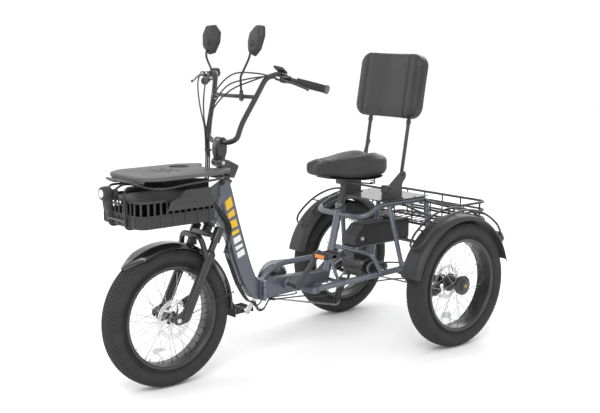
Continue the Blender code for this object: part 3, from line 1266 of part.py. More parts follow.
place("controls_right", build_controls(-1), "stem", "black_plastic")
place("bar_cables", build_bar_cables(), "stem", "rubber")
place("brake_lever_left", build_brake_lever(1), "left_lever", "black_paint")
place("brake_lever_right", build_brake_lever(-1), "right_lever", "black_paint")
place("throttle_lever", build_throttle(), "throttle", "black_plastic")
place("mirror_left", build_mirror(1), "left_mirror", "black_plastic")
place("mirror_right", build_mirror(-1), "right_mirror", "black_plastic")
place("fork_lowers", build_fork_lowers(), "fork", "black_paint")
place("front_fender", build_front_fender(), "fork", "black_plastic")
place("front_axle", build_front_axle(), "fork", "steel")
place("front_tyre", build_tyre(FRONT_AXLE), "front_wheel", "tyre_rubber")
place("front_rim", build_rim(FRONT_AXLE), "front_wheel", "black_paint")
place("front_hub", build_front_hub(), "front_wheel", "black_paint")
place("left_tyre", build_tyre(LEFT_WHEEL), "left_wheel", "tyre_rubber")
place("left_rim", build_rim(LEFT_WHEEL), "left_wheel", "black_paint")
place("left_hub", build_rear_hub(LEFT_WHEEL, 1), "left_wheel", "black_paint")
place("right_tyre", build_tyre(RIGHT_WHEEL), "right_wheel", "tyre_rubber")
place("right_rim", build_rim(RIGHT_WHEEL), "right_wheel", "black_paint")
place("right_hub", build_rear_hub(RIGHT_WHEEL, -1), "right_wheel", "black_paint")
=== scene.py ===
import json
import math

import bmesh
import bpy
import numpy as np
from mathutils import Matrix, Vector

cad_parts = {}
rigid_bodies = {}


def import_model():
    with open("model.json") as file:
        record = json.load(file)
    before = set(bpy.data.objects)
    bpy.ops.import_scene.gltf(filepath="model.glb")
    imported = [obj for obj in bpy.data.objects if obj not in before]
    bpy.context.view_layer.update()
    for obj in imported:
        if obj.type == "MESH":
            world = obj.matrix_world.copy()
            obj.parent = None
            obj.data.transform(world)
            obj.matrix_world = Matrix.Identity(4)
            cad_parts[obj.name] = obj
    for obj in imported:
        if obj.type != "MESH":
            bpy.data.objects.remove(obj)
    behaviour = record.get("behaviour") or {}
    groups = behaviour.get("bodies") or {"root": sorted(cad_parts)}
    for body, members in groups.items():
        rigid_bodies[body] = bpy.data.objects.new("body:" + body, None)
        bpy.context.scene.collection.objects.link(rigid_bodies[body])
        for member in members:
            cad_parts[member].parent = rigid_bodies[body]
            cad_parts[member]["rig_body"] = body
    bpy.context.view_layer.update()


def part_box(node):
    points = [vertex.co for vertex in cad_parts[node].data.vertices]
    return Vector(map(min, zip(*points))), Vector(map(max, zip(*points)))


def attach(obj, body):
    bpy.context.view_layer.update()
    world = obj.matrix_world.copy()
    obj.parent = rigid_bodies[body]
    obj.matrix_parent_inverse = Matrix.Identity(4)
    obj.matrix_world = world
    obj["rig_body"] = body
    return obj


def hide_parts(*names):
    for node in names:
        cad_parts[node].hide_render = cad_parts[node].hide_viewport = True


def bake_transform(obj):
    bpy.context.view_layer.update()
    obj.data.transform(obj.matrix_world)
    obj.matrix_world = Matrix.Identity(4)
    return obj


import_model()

tyreLow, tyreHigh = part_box("left_tyre")
axleY = (tyreLow.y + tyreHigh.y) / 2        # the rear axle, from which all lengths below run forward and back
wheelHeight = (tyreLow.z + tyreHigh.z) / 2
rearTrack = (tyreLow.x + tyreHigh.x) / 2
frontLow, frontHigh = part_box("front_tyre")
frontAxle = (frontLow.y + frontHigh.y) / 2 - axleY

# the camera stands ahead and to the left of the tricycle, a little above its saddle
cameraSetup = {"place": (3.5637, axleY - 3.6129, 1.472), "turn": 49.8, "down": 9.83, "lens": 64.16}
camera = bpy.data.objects.new("camera", bpy.data.cameras.new("camera"))
bpy.context.scene.collection.objects.link(camera)
camera.location = cameraSetup["place"]
camera.rotation_euler = (math.radians(90 - cameraSetup["down"]), 0, math.radians(cameraSetup["turn"]))
camera.data.lens = cameraSetup["lens"]
camera.data.sensor_width = 36
bpy.context.scene.camera = camera

print("finishes")


def newMaterial(name):
    made = bpy.data.materials.new(name)
    made.use_nodes = True
    tree = made.node_tree
    return made, tree, tree.nodes["Principled BSDF"]


def addNode(tree, kind, **values):
    node = tree.nodes.new(kind)
    for key, value in values.items():
        if hasattr(node, key):
            setattr(node, key, value)
        else:
            node.inputs[key.replace("_", " ")].default_value = value
    return node


def patternOn(tree, kind, scale, stretch=(1, 1, 1), **values):
    # a pattern node fed by object coordinates, stretched along the axes
    coords = addNode(tree, "ShaderNodeTexCoord")
    mapping = addNode(tree, "ShaderNodeMapping")
    mapping.inputs["Scale"].default_value = stretch
    tree.links.new(coords.outputs["Object"], mapping.inputs["Vector"])
    node = addNode(tree, kind, Scale=scale, **values)
    tree.links.new(mapping.outputs["Vector"], node.inputs["Vector"])
    return node


def ramped(tree, source, low, high, start=0.35, end=0.65):
    # colour that runs from low to high as the source runs from start to end
    ramp = addNode(tree, "ShaderNodeValToRGB")
    ramp.color_ramp.elements[0].position = start
    ramp.color_ramp.elements[1].position = end
    ramp.color_ramp.elements[0].color = (*low, 1)
    ramp.color_ramp.elements[1].color = (*high, 1)
    tree.links.new(source, ramp.inputs["Fac"])
    return ramp.outputs["Color"]


def shade(colour, factor):
    return tuple(min(1.0, c * factor) for c in colour)


def surfaceFinish(name, colour, rough, metal=0.0, coat=0.0, coatRough=0.1, grain=900.0, grainDepth=0.05,
                  blotch=9.0, vary=0.12, roughVary=0.06, stretch=(1, 1, 1), cells=False, specular=0.5,
                  wear=0.0):
    # base colour and roughness drift with a broad noise, and a fine noise or cell pattern lifts the surface
    made, tree, shader = newMaterial(name)
    broad = patternOn(tree, "ShaderNodeTexNoise", blotch, stretch, Detail=5.0, Roughness=0.6)
    tint = ramped(tree, broad.outputs["Fac"], shade(colour, 1 - vary), shade(colour, 1 + vary))
    if wear:
        geometry = addNode(tree, "ShaderNodeNewGeometry")
        edge = addNode(tree, "ShaderNodeMapRange", From_Min=0.53, From_Max=0.60, To_Min=0.0, To_Max=wear)
        tree.links.new(geometry.outputs["Pointiness"], edge.inputs["Value"])
        mixed = addNode(tree, "ShaderNodeMix", data_type="RGBA")
        tree.links.new(edge.outputs["Result"], mixed.inputs[0])
        tree.links.new(tint, mixed.inputs[6])
        mixed.inputs[7].default_value = (*shade(colour, 2.6), 1)
        tint = mixed.outputs[2]
    tree.links.new(tint, shader.inputs["Base Color"])
    spread = addNode(tree, "ShaderNodeMapRange", From_Min=0.3, From_Max=0.7, To_Min=rough - roughVary,
                     To_Max=rough + roughVary)
    tree.links.new(broad.outputs["Fac"], spread.inputs["Value"])
    tree.links.new(spread.outputs["Result"], shader.inputs["Roughness"])
    if cells:
        fine = patternOn(tree, "ShaderNodeTexVoronoi", grain, stretch)
        height = fine.outputs["Distance"]
    else:
        fine = patternOn(tree, "ShaderNodeTexNoise", grain, stretch, Detail=3.0)
        height = fine.outputs["Fac"]
    bump = addNode(tree, "ShaderNodeBump", Strength=grainDepth, Distance=0.001)
    tree.links.new(height, bump.inputs["Height"])
    tree.links.new(bump.outputs["Normal"], shader.inputs["Normal"])
    shader.inputs["Metallic"].default_value = metal
    shader.inputs["Coat Weight"].default_value = coat
    shader.inputs["Coat Roughness"].default_value = coatRough
    shader.inputs["Specular IOR Level"].default_value = specular
    return made


finishTable = {
    "framePaint": dict(colour=(0.100, 0.106, 0.132), rough=0.36, metal=0.55, coat=0.35, coatRough=0.22,
        grain=2600.0,
                       grainDepth=0.10, vary=0.07, wear=0.25),
    "blackPaint": dict(colour=(0.0145, 0.0145, 0.0155), rough=0.34, coat=0.25, coatRough=0.18, grain=1500.0,
                       grainDepth=0.10, vary=0.25, wear=0.5),
    "glossBlack": dict(colour=(0.0125, 0.0125, 0.0130), rough=0.20, coat=0.6, coatRough=0.06, grain=700.0,
                       grainDepth=0.03, vary=0.20),
    "blackPlastic": dict(colour=(0.0175, 0.0175, 0.0185), rough=0.50, grain=1300.0, grainDepth=0.22,
        vary=0.18,
                         wear=0.4),
    "greyPlastic": dict(colour=(0.070, 0.070, 0.073), rough=0.42, grain=1700.0, grainDepth=0.22, vary=0.08,
        wear=0.3),
    "tyreRubber": dict(colour=(0.0235, 0.0235, 0.0240), rough=0.74, grain=900.0, grainDepth=0.25, vary=0.28,
                       blotch=16.0, specular=0.35),
    "treadRubber": dict(colour=(0.0185, 0.0185, 0.0190), rough=0.82, grain=1200.0, grainDepth=0.35, vary=0.30,
                        blotch=22.0, specular=0.3, wear=0.8),
    "steel": dict(colour=(0.50, 0.50, 0.51), rough=0.27, metal=1.0, grain=500.0, grainDepth=0.06,
                  stretch=(8, 1, 1), vary=0.10),
    "silver": dict(colour=(0.62, 0.62, 0.63), rough=0.30, metal=0.95, grain=900.0, grainDepth=0.05,
        vary=0.07),
    "darkSteel": dict(colour=(0.070, 0.068, 0.066), rough=0.38, metal=0.8, grain=900.0, grainDepth=0.12,
        vary=0.30),
    "brass": dict(colour=(0.46, 0.30, 0.10), rough=0.32, metal=1.0, grain=900.0, grainDepth=0.05),
    "vinyl": dict(colour=(0.0165, 0.0165, 0.0172), rough=0.44, grain=620.0, grainDepth=0.30, cells=True,
        vary=0.18,
                  blotch=7.0, roughVary=0.08),
    "deckPlate": dict(colour=(0.045, 0.045, 0.048), rough=0.22, metal=0.35, coat=0.5, coatRough=0.08,
        grain=1100.0,
                      grainDepth=0.05, vary=0.06),
    "rubber": dict(colour=(0.0135, 0.0135, 0.0135), rough=0.66, grain=1500.0, grainDepth=0.25, vary=0.20),
    "cableSkin": dict(colour=(0.011, 0.011, 0.011), rough=0.38, grain=1200.0, grainDepth=0.10, vary=0.15),
    "amber": dict(colour=(0.80, 0.26, 0.015), rough=0.18, coat=0.5, grain=420.0, grainDepth=0.5, cells=True,
        vary=0.10),
    "redLens": dict(colour=(0.42, 0.012, 0.010), rough=0.16, coat=0.6, grain=420.0, grainDepth=0.45,
        cells=True, vary=0.10),
    "clearLens": dict(colour=(0.80, 0.81, 0.83), rough=0.12, coat=0.8, coatRough=0.04, grain=300.0,
        grainDepth=0.35,
                      cells=True, vary=0.04),
    "mirrorGlass": dict(colour=(0.80, 0.82, 0.84), rough=0.07, metal=1.0, grain=40.0, grainDepth=0.0,
        vary=0.02,
                        roughVary=0.02),
    "screen": dict(colour=(0.020, 0.024, 0.030), rough=0.10, coat=0.9, coatRough=0.03, grain=300.0,
        grainDepth=0.01,
                   vary=0.1, roughVary=0.03),
    "yellowMark": dict(colour=(0.72, 0.44, 0.010), rough=0.38, grain=1800.0, grainDepth=0.08, vary=0.05),
    "whiteMark": dict(colour=(0.70, 0.70, 0.70), rough=0.38, grain=1800.0, grainDepth=0.08, vary=0.04),
}
finishes = {name: surfaceFinish(name, **values) for name, values in finishTable.items()}

# Shapes: each is a pair of an array of points and a list of faces


def gridFaces(rows, columns, wrapRows=False, wrapColumns=True):
    # every face joins point (i, j) to its neighbours at j + 1, i + 1 and both
    i, j = np.meshgrid(np.arange(rows - (not wrapRows)), np.arange(columns - (not wrapColumns)),
        indexing="ij")
    nextRow, nextColumn = (i + 1) % rows, (j + 1) % columns
    corners = [i * columns + j, i * columns + nextColumn, nextRow * columns + nextColumn,
        nextRow * columns + j]
    return np.stack(corners, -1).reshape(-1, 4).tolist()


def lofted(rings, closed=False):
    # rings of equally many points, joined in order, with a flat face on each open end
    rings = np.asarray(rings, float)
    rows, columns = rings.shape[:2]
    faces = gridFaces(rows, columns, wrapRows=closed)
    if not closed:
        faces += [list(range(columns))[::-1], list(range((rows - 1) * columns, rows * columns))]
    return rings.reshape(-1, 3), faces


def joined(*shapes):
    points, faces, base = [], [], 0
    for verts, polygons in shapes:
        points.append(verts)
        faces += [[index + base for index in face] for face in polygons]
        base += len(verts)
    return np.concatenate(points), faces


def mirroredX(shape):
    # the same shape with every x turned to minus x
    return shape[0] * np.array([-1.0, 1, 1]), [face[::-1] for face in shape[1]]


def onBothSides(shape):
    return joined(shape, mirroredX(shape))


def onSide(shape, side):
    return shape if side > 0 else mirroredX(shape)


def unit(vector):
    vector = np.asarray(vector, float)
    return vector / np.linalg.norm(vector, axis=-1, keepdims=True)


def smoothRoute(points, count, closed=False):
    # cubic curve through the points: each span is a mix of its four nearest points by powers of t
    points = np.asarray(points, float)
    last = len(points) if closed else len(points) - 1
    t = np.linspace(0, last, count, endpoint=not closed)
    i = np.minimum(t.astype(int), last - 1)
    t = (t - i)[:, None]
    pick = (lambda k: points[k % len(points)]) if closed else (lambda k: points[np.clip(k, 0, last)])
    a, b, c, d = pick(i - 1), pick(i), pick(i + 1), pick(i + 2)
    return 0.5 * (2 * b + (c - a) * t + (2 * a - 5 * b + 4 * c - d) * t ** 2
        + (3 * b - a - 3 * c + d) * t ** 3)


def bentRoute(points, radius, steps=7, closed=False):
    # straight runs joined by curves: each corner is a parabola between the points one radius away from it
    points = np.asarray(points, float)
    count = len(points)
    route = [] if closed else [points[0]]
    t = np.linspace(0, 1, steps)[:, None]
    for k in range(0 if closed else 1, count if closed else count - 1):
        before, corner, after = points[k - 1], points[k], points[(k + 1) % count]
        reach = min(radius, 0.48 * np.linalg.norm(before - corner), 0.48 * np.linalg.norm(after - corner))
        start, end = corner + unit(before - corner) * reach, corner + unit(after - corner) * reach
        route.extend((1 - t) ** 2 * start + 2 * t * (1 - t) * corner + t ** 2 * end)
    if not closed:
        route.append(points[-1])
    return np.array(route)


def tube(route, radius, sides=14, closed=False, flat=1.0):
    # a circle of points carried along the route, kept upright by turning it as little as possible
    route = np.asarray(route, float)
    radius = np.broadcast_to(np.asarray(radius, float), (len(route),))
    if closed:
        tangent = unit(np.roll(route, -1, 0) - np.roll(route, 1, 0))
    else:
        tangent = unit(np.gradient(route, axis=0))
    normals = [unit(np.cross(tangent[0], (0.31, 0.17, 1.0) if abs(tangent[0][2]) < 0.9 else (1.0, 0.2, 0)))]
    for direction in tangent[1:]:
        across = normals[-1] - direction * (normals[-1] @ direction)
        normals.append(unit(across))
    normals = np.array(normals)
    if closed:      # the twist left over after one lap is shared out along the route
        back = normals[-1] - tangent[0] * (normals[-1] @ tangent[0])
        twist = math.atan2(np.cross(normals[0], unit(back)) @ tangent[0], normals[0] @ unit(back))
        share = -twist * np.linspace(0, 1, len(route), endpoint=False)[:, None]
        normals = normals * np.cos(share) + np.cross(tangent, normals) * np.sin(share)
    other = np.cross(tangent, normals)
    angle = np.linspace(0, 2 * np.pi, sides, endpoint=False)
    ring = normals[:, None] * np.cos(angle)[None, :, None] + other[:, None] * np.sin(angle)[None, :,
        None] * flat
    return lofted(route[:, None] + ring * radius[:, None, None], closed)


def rod(start, end, radius, sides=16, endRadius=None):
    return tube([start, end], [radius, radius if endRadius is None else endRadius], sides)


def acrossX(axis):
    # two unit vectors square to an axis
    axis = unit(axis)
    first = unit(np.cross(axis, (0, 0, 1) if abs(axis[2]) < 0.9 else (1, 0, 0)))
    return axis, first, np.cross(axis, first)


def turned(profile, centre, axis=(1, 0, 0), segments=48, start=0.0, sweep=2 * math.pi):
    # each (radius, height) of a closed profile goes round the axis: centre + axis * height +
    # radius at an angle

    profile = np.asarray(profile, float)
    axis, first, second = acrossX(axis) if tuple(axis) != (1, 0, 0) else (np.array([1.0, 0, 0]),
                                                                          np.array([0, 1.0, 0]), np.array([0,
                                                                              0, 1.0]))
    whole = sweep > 6.28
    angle = start + np.linspace(0, sweep, segments, endpoint=not whole)
    out = first * np.cos(angle)[:, None] + second * np.sin(angle)[:, None]
    rings = (np.asarray(centre, float) + axis * profile[None, :, 1:2] + out[:, None] * profile[None, :, 0:1])
    return lofted(rings, closed=whole)


def drum(profile, centre, axis=(1, 0, 0), segments=48):
    # an open profile of (radius, height) turned about the axis and closed by a flat face at each end
    profile = np.asarray(profile, float)
    axis, first, second = acrossX(axis) if tuple(axis) != (1, 0, 0) else (np.array([1.0, 0, 0]),
                                                                          np.array([0, 1.0, 0]), np.array([0,
                                                                              0, 1.0]))
    angle = np.linspace(0, 2 * np.pi, segments, endpoint=False)
    out = first * np.cos(angle)[:, None] + second * np.sin(angle)[:, None]
    return lofted(np.asarray(centre, float) + axis * profile[:, None, 1:2]
        + out[None] * profile[:, None, 0:1])


def inset(outline, amount):
    # every corner moves inwards along the line that halves it, so that each side shifts by the same amount
    outline = np.asarray(outline, float)
    onward = unit(np.roll(outline, -1, 0) - outline)
    normal = np.stack([-onward[:, 1], onward[:, 0]], -1)
    x, y = outline[:, 0], outline[:, 1]
    if (x * np.roll(y, -1) - y * np.roll(x, -1)).sum() < 0:
        normal = -normal
    before = np.roll(normal, 1, 0)
    return outline + amount * (normal + before) / np.maximum(0.4,
        1 + (normal * before).sum(-1, keepdims=True))


def slab(outline, low, high, axis="z", edge=0.0015):
    # a flat outline given thickness along one axis, its rims cut back by the edge width
    wide, narrow = np.asarray(outline, float), inset(outline, edge)
    rings = [(narrow, low), (wide, low + edge), (wide, high - edge),
        (narrow, high)] if edge else [(wide, low), (wide, high)]
    placed = []
    for ring, level in rings:
        level = np.full((len(ring), 1), level)
        placed.append(np.hstack([level, ring]) if axis == "x" else np.hstack([ring, level]) if axis == "z"
                      else np.hstack([ring[:, :1], level, ring[:, 1:]]))
    return lofted(placed)


def boxOf(low, high, edge=0.0015):
    return slab([(low[0], low[1]), (high[0], low[1]), (high[0], high[1]), (low[0], high[1])], low[2], high[2],
        "z", edge)


def slantedBox(centre, axes, halves, edge=0.001):
    # a box along three given directions
    made, faces = boxOf([-h for h in halves], halves, edge)
    return made @ np.asarray(axes, float) + np.asarray(centre, float), faces


def extruded(corners, direction):
    # a flat polygon in space carried along a direction
    corners = np.asarray(corners, float)
    return lofted([corners, corners + np.asarray(direction, float)])


def roundedOutline(low, high, radius, steps=6):
    # rectangle whose corners are quarter circles: centre of the corner plus radius times (cos, sin)
    quarter = np.linspace(0, np.pi / 2, steps)
    points = []
    for k, (x, y) in enumerate([(high[0] - radius, high[1] - radius), (low[0] + radius, high[1] - radius),
                                (low[0] + radius, low[1] + radius), (high[0] - radius, low[1] + radius)]):
        angle = quarter + k * np.pi / 2
        points.append(np.stack([x + radius * np.cos(angle), y + radius * np.sin(angle)], -1))
    return np.concatenate(points)


def squircle(count, power):
    # points of a rounded square of side 2: cosine and sine, each raised to a power and keeping its sign
    angle = np.linspace(0, 2 * np.pi, count, endpoint=False)
    c, s = np.cos(angle), np.sin(angle)
    return np.stack([np.sign(c) * np.abs(c) ** power, np.sign(s) * np.abs(s) ** power], -1)


def betweenEdges(front, rear, half, count=48, sides=40, power=0.28):
    # loft between two edge curves in the middle plane: middle + half the gap * sine, and half
    # the width * cosine

    a, b = smoothRoute([(0, y, z) for y, z in front], count), smoothRoute([(0, y, z) for y, z in rear], count)
    ring = squircle(sides, power)
    across = np.array([1.0, 0, 0]) * np.broadcast_to(np.asarray(half, float), (count,))[:, None]
    rings = ((a + b) / 2)[:, None] + ring[None, :, 0:1] * across[:, None] + ring[None, :,
        1:2] * ((b - a) / 2)[:, None]
    return lofted(rings)


def makePiece(name, shape, body, finish, nodes=(), bevel=0.0, sharp=36, smoothing=0):
    # the points, given from the rear axle, are moved into the row frame here and the object
    # stays at the origin

    verts, faces = shape
    mesh = bpy.data.meshes.new(name)
    mesh.from_pydata((verts + np.array([0, axleY, 0])).tolist(), [], faces)
    bm = bmesh.new()
    bm.from_mesh(mesh)
    bmesh.ops.remove_doubles(bm, verts=bm.verts, dist=1e-6)
    bmesh.ops.recalc_face_normals(bm, faces=bm.faces)
    bm.to_mesh(mesh)
    bm.free()
    mesh.shade_smooth()
    mesh.set_sharp_from_angle(angle=math.radians(sharp))
    mesh.materials.append(finishes[finish])
    piece = bpy.data.objects.new(name, mesh)
    bpy.context.scene.collection.objects.link(piece)
    if bevel:
        rim = piece.modifiers.new("rim", "BEVEL")
        rim.width, rim.segments, rim.limit_method, rim.angle_limit = bevel, 2, "ANGLE", math.radians(40)
    if smoothing:
        fine = piece.modifiers.new("fine", "SUBSURF")
        fine.levels = fine.render_levels = smoothing
    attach(piece, body)
    if nodes:
        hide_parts(*nodes)
    return piece


rake = math.radians(26.8)
steerLow = np.array([0, -1.103, 0.630])
steerUp = np.array([0, math.sin(rake), math.cos(rake)])
steerAhead = np.array([0, -math.cos(rake), math.sin(rake)])
acrossBody = np.array([1.0, 0, 0])


def steerPoint(up, forward=0.0, side=0.0):
    # a point along, ahead of and beside the steering axis
    return steerLow + steerUp * up + steerAhead * forward + acrossBody * side


print("wheels")
wheel = {"segments": 144, "knobRows": 9, "knobs": 112, "knobHeight": 0.0030, "spokePairs": 9,
    "spokeRadius": 0.0011,
         "rimRadius": 0.2125, "rimHalf": 0.0438, "tyreHalf": 0.0498}


def tyreShape(centre):
    # the section is a fat oval cut open at the bead: half width * cosine, middle radius + height
    # * sine, then the bead

    crown, bead = wheelHeight - 0.0036, 0.2030
    angle = np.linspace(-0.98, math.pi + 0.98, 46)
    middle, rise = (crown + bead + 0.014) / 2, (crown - bead - 0.014) / 2
    c, s = np.cos(angle), np.sin(angle)
    across = wheel["tyreHalf"] * np.sign(c) * np.abs(c) ** 0.86
    radial = middle + rise * np.sign(s) * np.abs(s) ** 0.92
    outer = np.stack([radial, across], -1)
    for level in (0.2345, 0.2420, 0.2615):          # fine raised rings moulded on the sidewall
        near = np.exp(-((outer[:, 0] - level) / 0.0012) ** 2)[:, None]
        outer = outer + near * np.stack([0 * c, 0.0004 * np.sign(c)], -1)
    profile = np.concatenate([[(bead, 0.0385)], outer, [(bead, -0.0385), (bead, -0.030), (0.222, -0.034),
        (0.250, -0.040),
                                                        (0.276, -0.022), (0.279, 0.0), (0.276, 0.022),
                                                        (0.250, 0.040),
                                                        (0.222, 0.034), (bead, 0.030)]])
    return turned(profile, centre, segments=wheel["segments"]), (middle, rise)


def treadShape(centre, middle, rise):
    # small slanted blocks in rows: each stands out from the oval section at its own angle round the wheel
    rows, count = wheel["knobRows"], wheel["knobs"]
    lean = np.linspace(-0.80, 0.80, rows)
    turn = (np.arange(count) / count) * 2 * np.pi
    row, place = np.meshgrid(np.arange(rows), np.arange(count), indexing="ij")
    middleAngle = lean[row].ravel()
    round_ = (turn[place] + (row % 2) * np.pi / count).ravel()
    halfAcross, halfRound = 0.0052, 0.0060
    corner = np.array([(-1, -1), (1, -1), (1, 1), (-1, 1)], float)
    points = []
    for lift, shrink in ((-0.0016, 1.0), (wheel["knobHeight"], 0.80)):
        slope = middleAngle[:, None] + corner[None, :, 0] * shrink * halfAcross / 0.047
        skew = 0.0028 * corner[None, :, 0] * np.where(row.ravel() % 2, 1, -1)[:, None]
        across = (wheel["tyreHalf"]) * np.sign(np.sin(slope)) * np.abs(np.sin(slope)) ** 0.86
        radial = middle + rise * np.abs(np.cos(slope)) ** 0.92
        across = across + lift * np.sin(slope)
        radial = np.minimum(radial + lift * np.cos(slope), wheelHeight - 0.0003)
        angle = round_[:, None] + (corner[None, :, 1] * shrink * halfRound + skew) / wheelHeight
        points.append(np.stack([across, radial * np.cos(angle), radial * np.sin(angle)], -1))
    verts = np.concatenate(points, 1)                # low four corners, then high four
    face = np.array([(0, 1, 2, 3), (4, 7, 6, 5), (0, 4, 5, 1), (1, 5, 6, 2), (2, 6, 7, 3), (3, 7, 4, 0)])
    faces = (np.arange(len(verts))[:, None, None] * 8 + face[None]).reshape(-1, 4).tolist()
    return verts.reshape(-1, 3) + np.asarray(centre, float), faces


def rimShape(centre):
    r, h = wheel["rimRadius"], wheel["rimHalf"]
    profile = [(r, h), (r + 0.0006, h - 0.001), (r, h - 0.002), (0.2060, h - 0.0032), (0.2022, 0.036),
        (0.2022, 0.016),
               (0.1992, 0.012), (0.1992, -0.012), (0.2022, -0.016), (0.2022, -0.036), (0.2060, -h + 0.0032),
               (r, -h + 0.002), (r + 0.0006, -h + 0.001), (r, -h), (0.2040, -h), (0.1985, -h + 0.004),
               (0.1975, -0.036),
               (0.1975, -0.018), (0.1955, -0.014), (0.1955, 0.014), (0.1975, 0.018), (0.1975, 0.036),
               (0.1985, h - 0.004), (0.2040, h)]
    return turned(profile, centre, segments=wheel["segments"])


def spokeShapes(centre, flangeRadius, flangeHalf):
    # each spoke leans round the hub by its crossing angle and runs from a flange to the middle of the rim
    spokes, nipples = [], []
    total = wheel["spokePairs"] * 4
    for k in range(total):
        side = 1 if k % 2 else -1
        angle = 2 * math.pi * (k + 0.5) / total
        lean = math.radians(52) * (1 if k % 4 < 2 else -1)
        hub = np.array([side * flangeHalf, flangeRadius * math.cos(angle + lean),
            flangeRadius * math.sin(angle + lean)])
        rim = np.array([side * 0.007, 0.1962 * math.cos(angle), 0.1962 * math.sin(angle)])
        spokes.append(rod(centre + hub, centre + rim, wheel["spokeRadius"], 6))
        inward = unit(hub - rim)
        nipples.append(rod(centre + rim + inward * -0.001, centre + rim + inward * 0.012, 0.0022, 8, 0.0017))
        spokes.append(drum([(0.0005, -0.0016), (0.0021, -0.0012), (0.0021, 0.0012), (0.0005, 0.0016)],
                           centre + hub, segments=8))
    return joined(*spokes), joined(*nipples)


def rotorShape(centre, x):
    # two thin rings joined by slanted bars, with holes between them, and six curved arms to the hub
    place = np.asarray(centre, float) + acrossBody * x
    half = 0.0009
    rings = [turned([(a, -half), (b, -half), (b, half), (a, half)], place, segments=90)
             for a, b in ((0.0625, 0.0655), (0.0695, 0.0718), (0.0765, 0.0800))]
    bars = []
    for count, inner, outer, lean in ((48, 0.0650, 0.0700, 0.10), (48, 0.0713, 0.0770, -0.10)):
        for k in range(count):
            a, b = 2 * math.pi * k / count, 2 * math.pi * k / count + lean * 0.5
            start = place + np.array([0, inner * math.cos(a), inner * math.sin(a)])
            end = place + np.array([0, outer * math.cos(b), outer * math.sin(b)])
            out, side = unit(end - start), np.cross(unit(end - start), acrossBody)
            bars.append(slantedBox((start + end) / 2, [acrossBody, out, side],
                                   (half * 0.98, np.linalg.norm(end - start) / 2, 0.0013), 0))
    arms = []
    for k in range(6):
        angle = 2 * math.pi * k / 6 + 0.3
        curve = [place + radius * np.array([0, math.cos(angle + bow), math.sin(angle + bow)])
                 for radius, bow in ((0.020, -0.50), (0.036, -0.28), (0.052, -0.10), (0.064, 0.0))]
        arms.append(tube(smoothRoute(curve, 12), np.linspace(0.0058, 0.0042, 12), 8, flat=1.0))
    thin = [(np.stack([place[0] + (a[0][:, 0] - place[0]) * 0.18, a[0][:, 1], a[0][:, 2]], -1),
        a[1]) for a in arms]
    collar = turned([(0.0120, -0.0016), (0.0225, -0.0016), (0.0225, 0.0016), (0.0120, 0.0016)], place,
        segments=36)
    bolts = [drum([(0.0008, -0.003), (0.0024, -0.0026), (0.0024, 0.0026), (0.0008, 0.003)],
                  place + 0.0185 * np.array([0, math.cos(a), math.sin(a)]), segments=8)
             for a in np.arange(6) * math.pi / 3]
    return joined(*rings, *bars, *thin, collar, *bolts)


def reflectorShape(centre, x, angle, radius):
    # a flat pebble: squircle of points times its half sizes, tapered towards both faces
    middle = np.asarray(centre, float) + np.array([x, radius * math.cos(angle), radius * math.sin(angle)])
    out, along = np.array([0, math.cos(angle), math.sin(angle)]), np.array([0, -math.sin(angle),
        math.cos(angle)])
    ring = squircle(32, 0.75)
    rings = [middle + acrossBody * depth + (ring[:, :1] * 0.030 * along + ring[:, 1:] * 0.0135 * out) * scale
             for depth, scale in ((-0.0050, 0.90), (-0.0035, 1.0), (0.0035, 1.0), (0.0050, 0.90))]
    return lofted(rings)


def frontHubShape():
    profile = [(0.0115, -0.068), (0.0120, -0.050), (0.0150, -0.043), (0.0275, -0.0385), (0.0280, -0.0350),
        (0.0200, -0.030),
               (0.0165, -0.024), (0.0165, 0.024), (0.0200, 0.030), (0.0280, 0.0350), (0.0275, 0.0385),
               (0.0225, 0.0410),
               (0.0225, 0.0505), (0.0150, 0.0560), (0.0120, 0.0600), (0.0115, 0.068)]
    return drum(profile, (0, frontAxle, wheelHeight), segments=40)


def rearHubShape(side):
    profile = [(0.0105, -0.0850), (0.0115, -0.0600), (0.0250, -0.0565), (0.0260, -0.0400), (0.0415, -0.0370),
               (0.0415, -0.0330), (0.0320, -0.0280), (0.0300, -0.0200), (0.0300, 0.0200), (0.0320, 0.0280),
               (0.0420, 0.0330), (0.0425, 0.0372), (0.0438, 0.0400), (0.0440, 0.0490), (0.0400, 0.0515),
               (0.0262, 0.0535),
               (0.0250, 0.0545), (0.0240, 0.0590), (0.0205, 0.0605), (0.0100, 0.0608)]
    hub = drum([(r, h * side) for r, h in profile], (side * rearTrack, 0, wheelHeight), segments=48)
    bolts = [drum([(0.0006, side * 0.050), (0.0030, side * 0.0520), (0.0028, side * 0.0548),
        (0.0006, side * 0.0552)],
                  (side * rearTrack, 0.0335 * math.cos(a), wheelHeight + 0.0335 * math.sin(a)), segments=8)
             for a in np.arange(7) * 2 * math.pi / 7]
    nut = drum([(0.0085, side * 0.0600), (0.0085, side * 0.0625), (0.0060, side * 0.0633)],
               (side * rearTrack, 0, wheelHeight), segments=6)
    return joined(hub, *bolts), nut


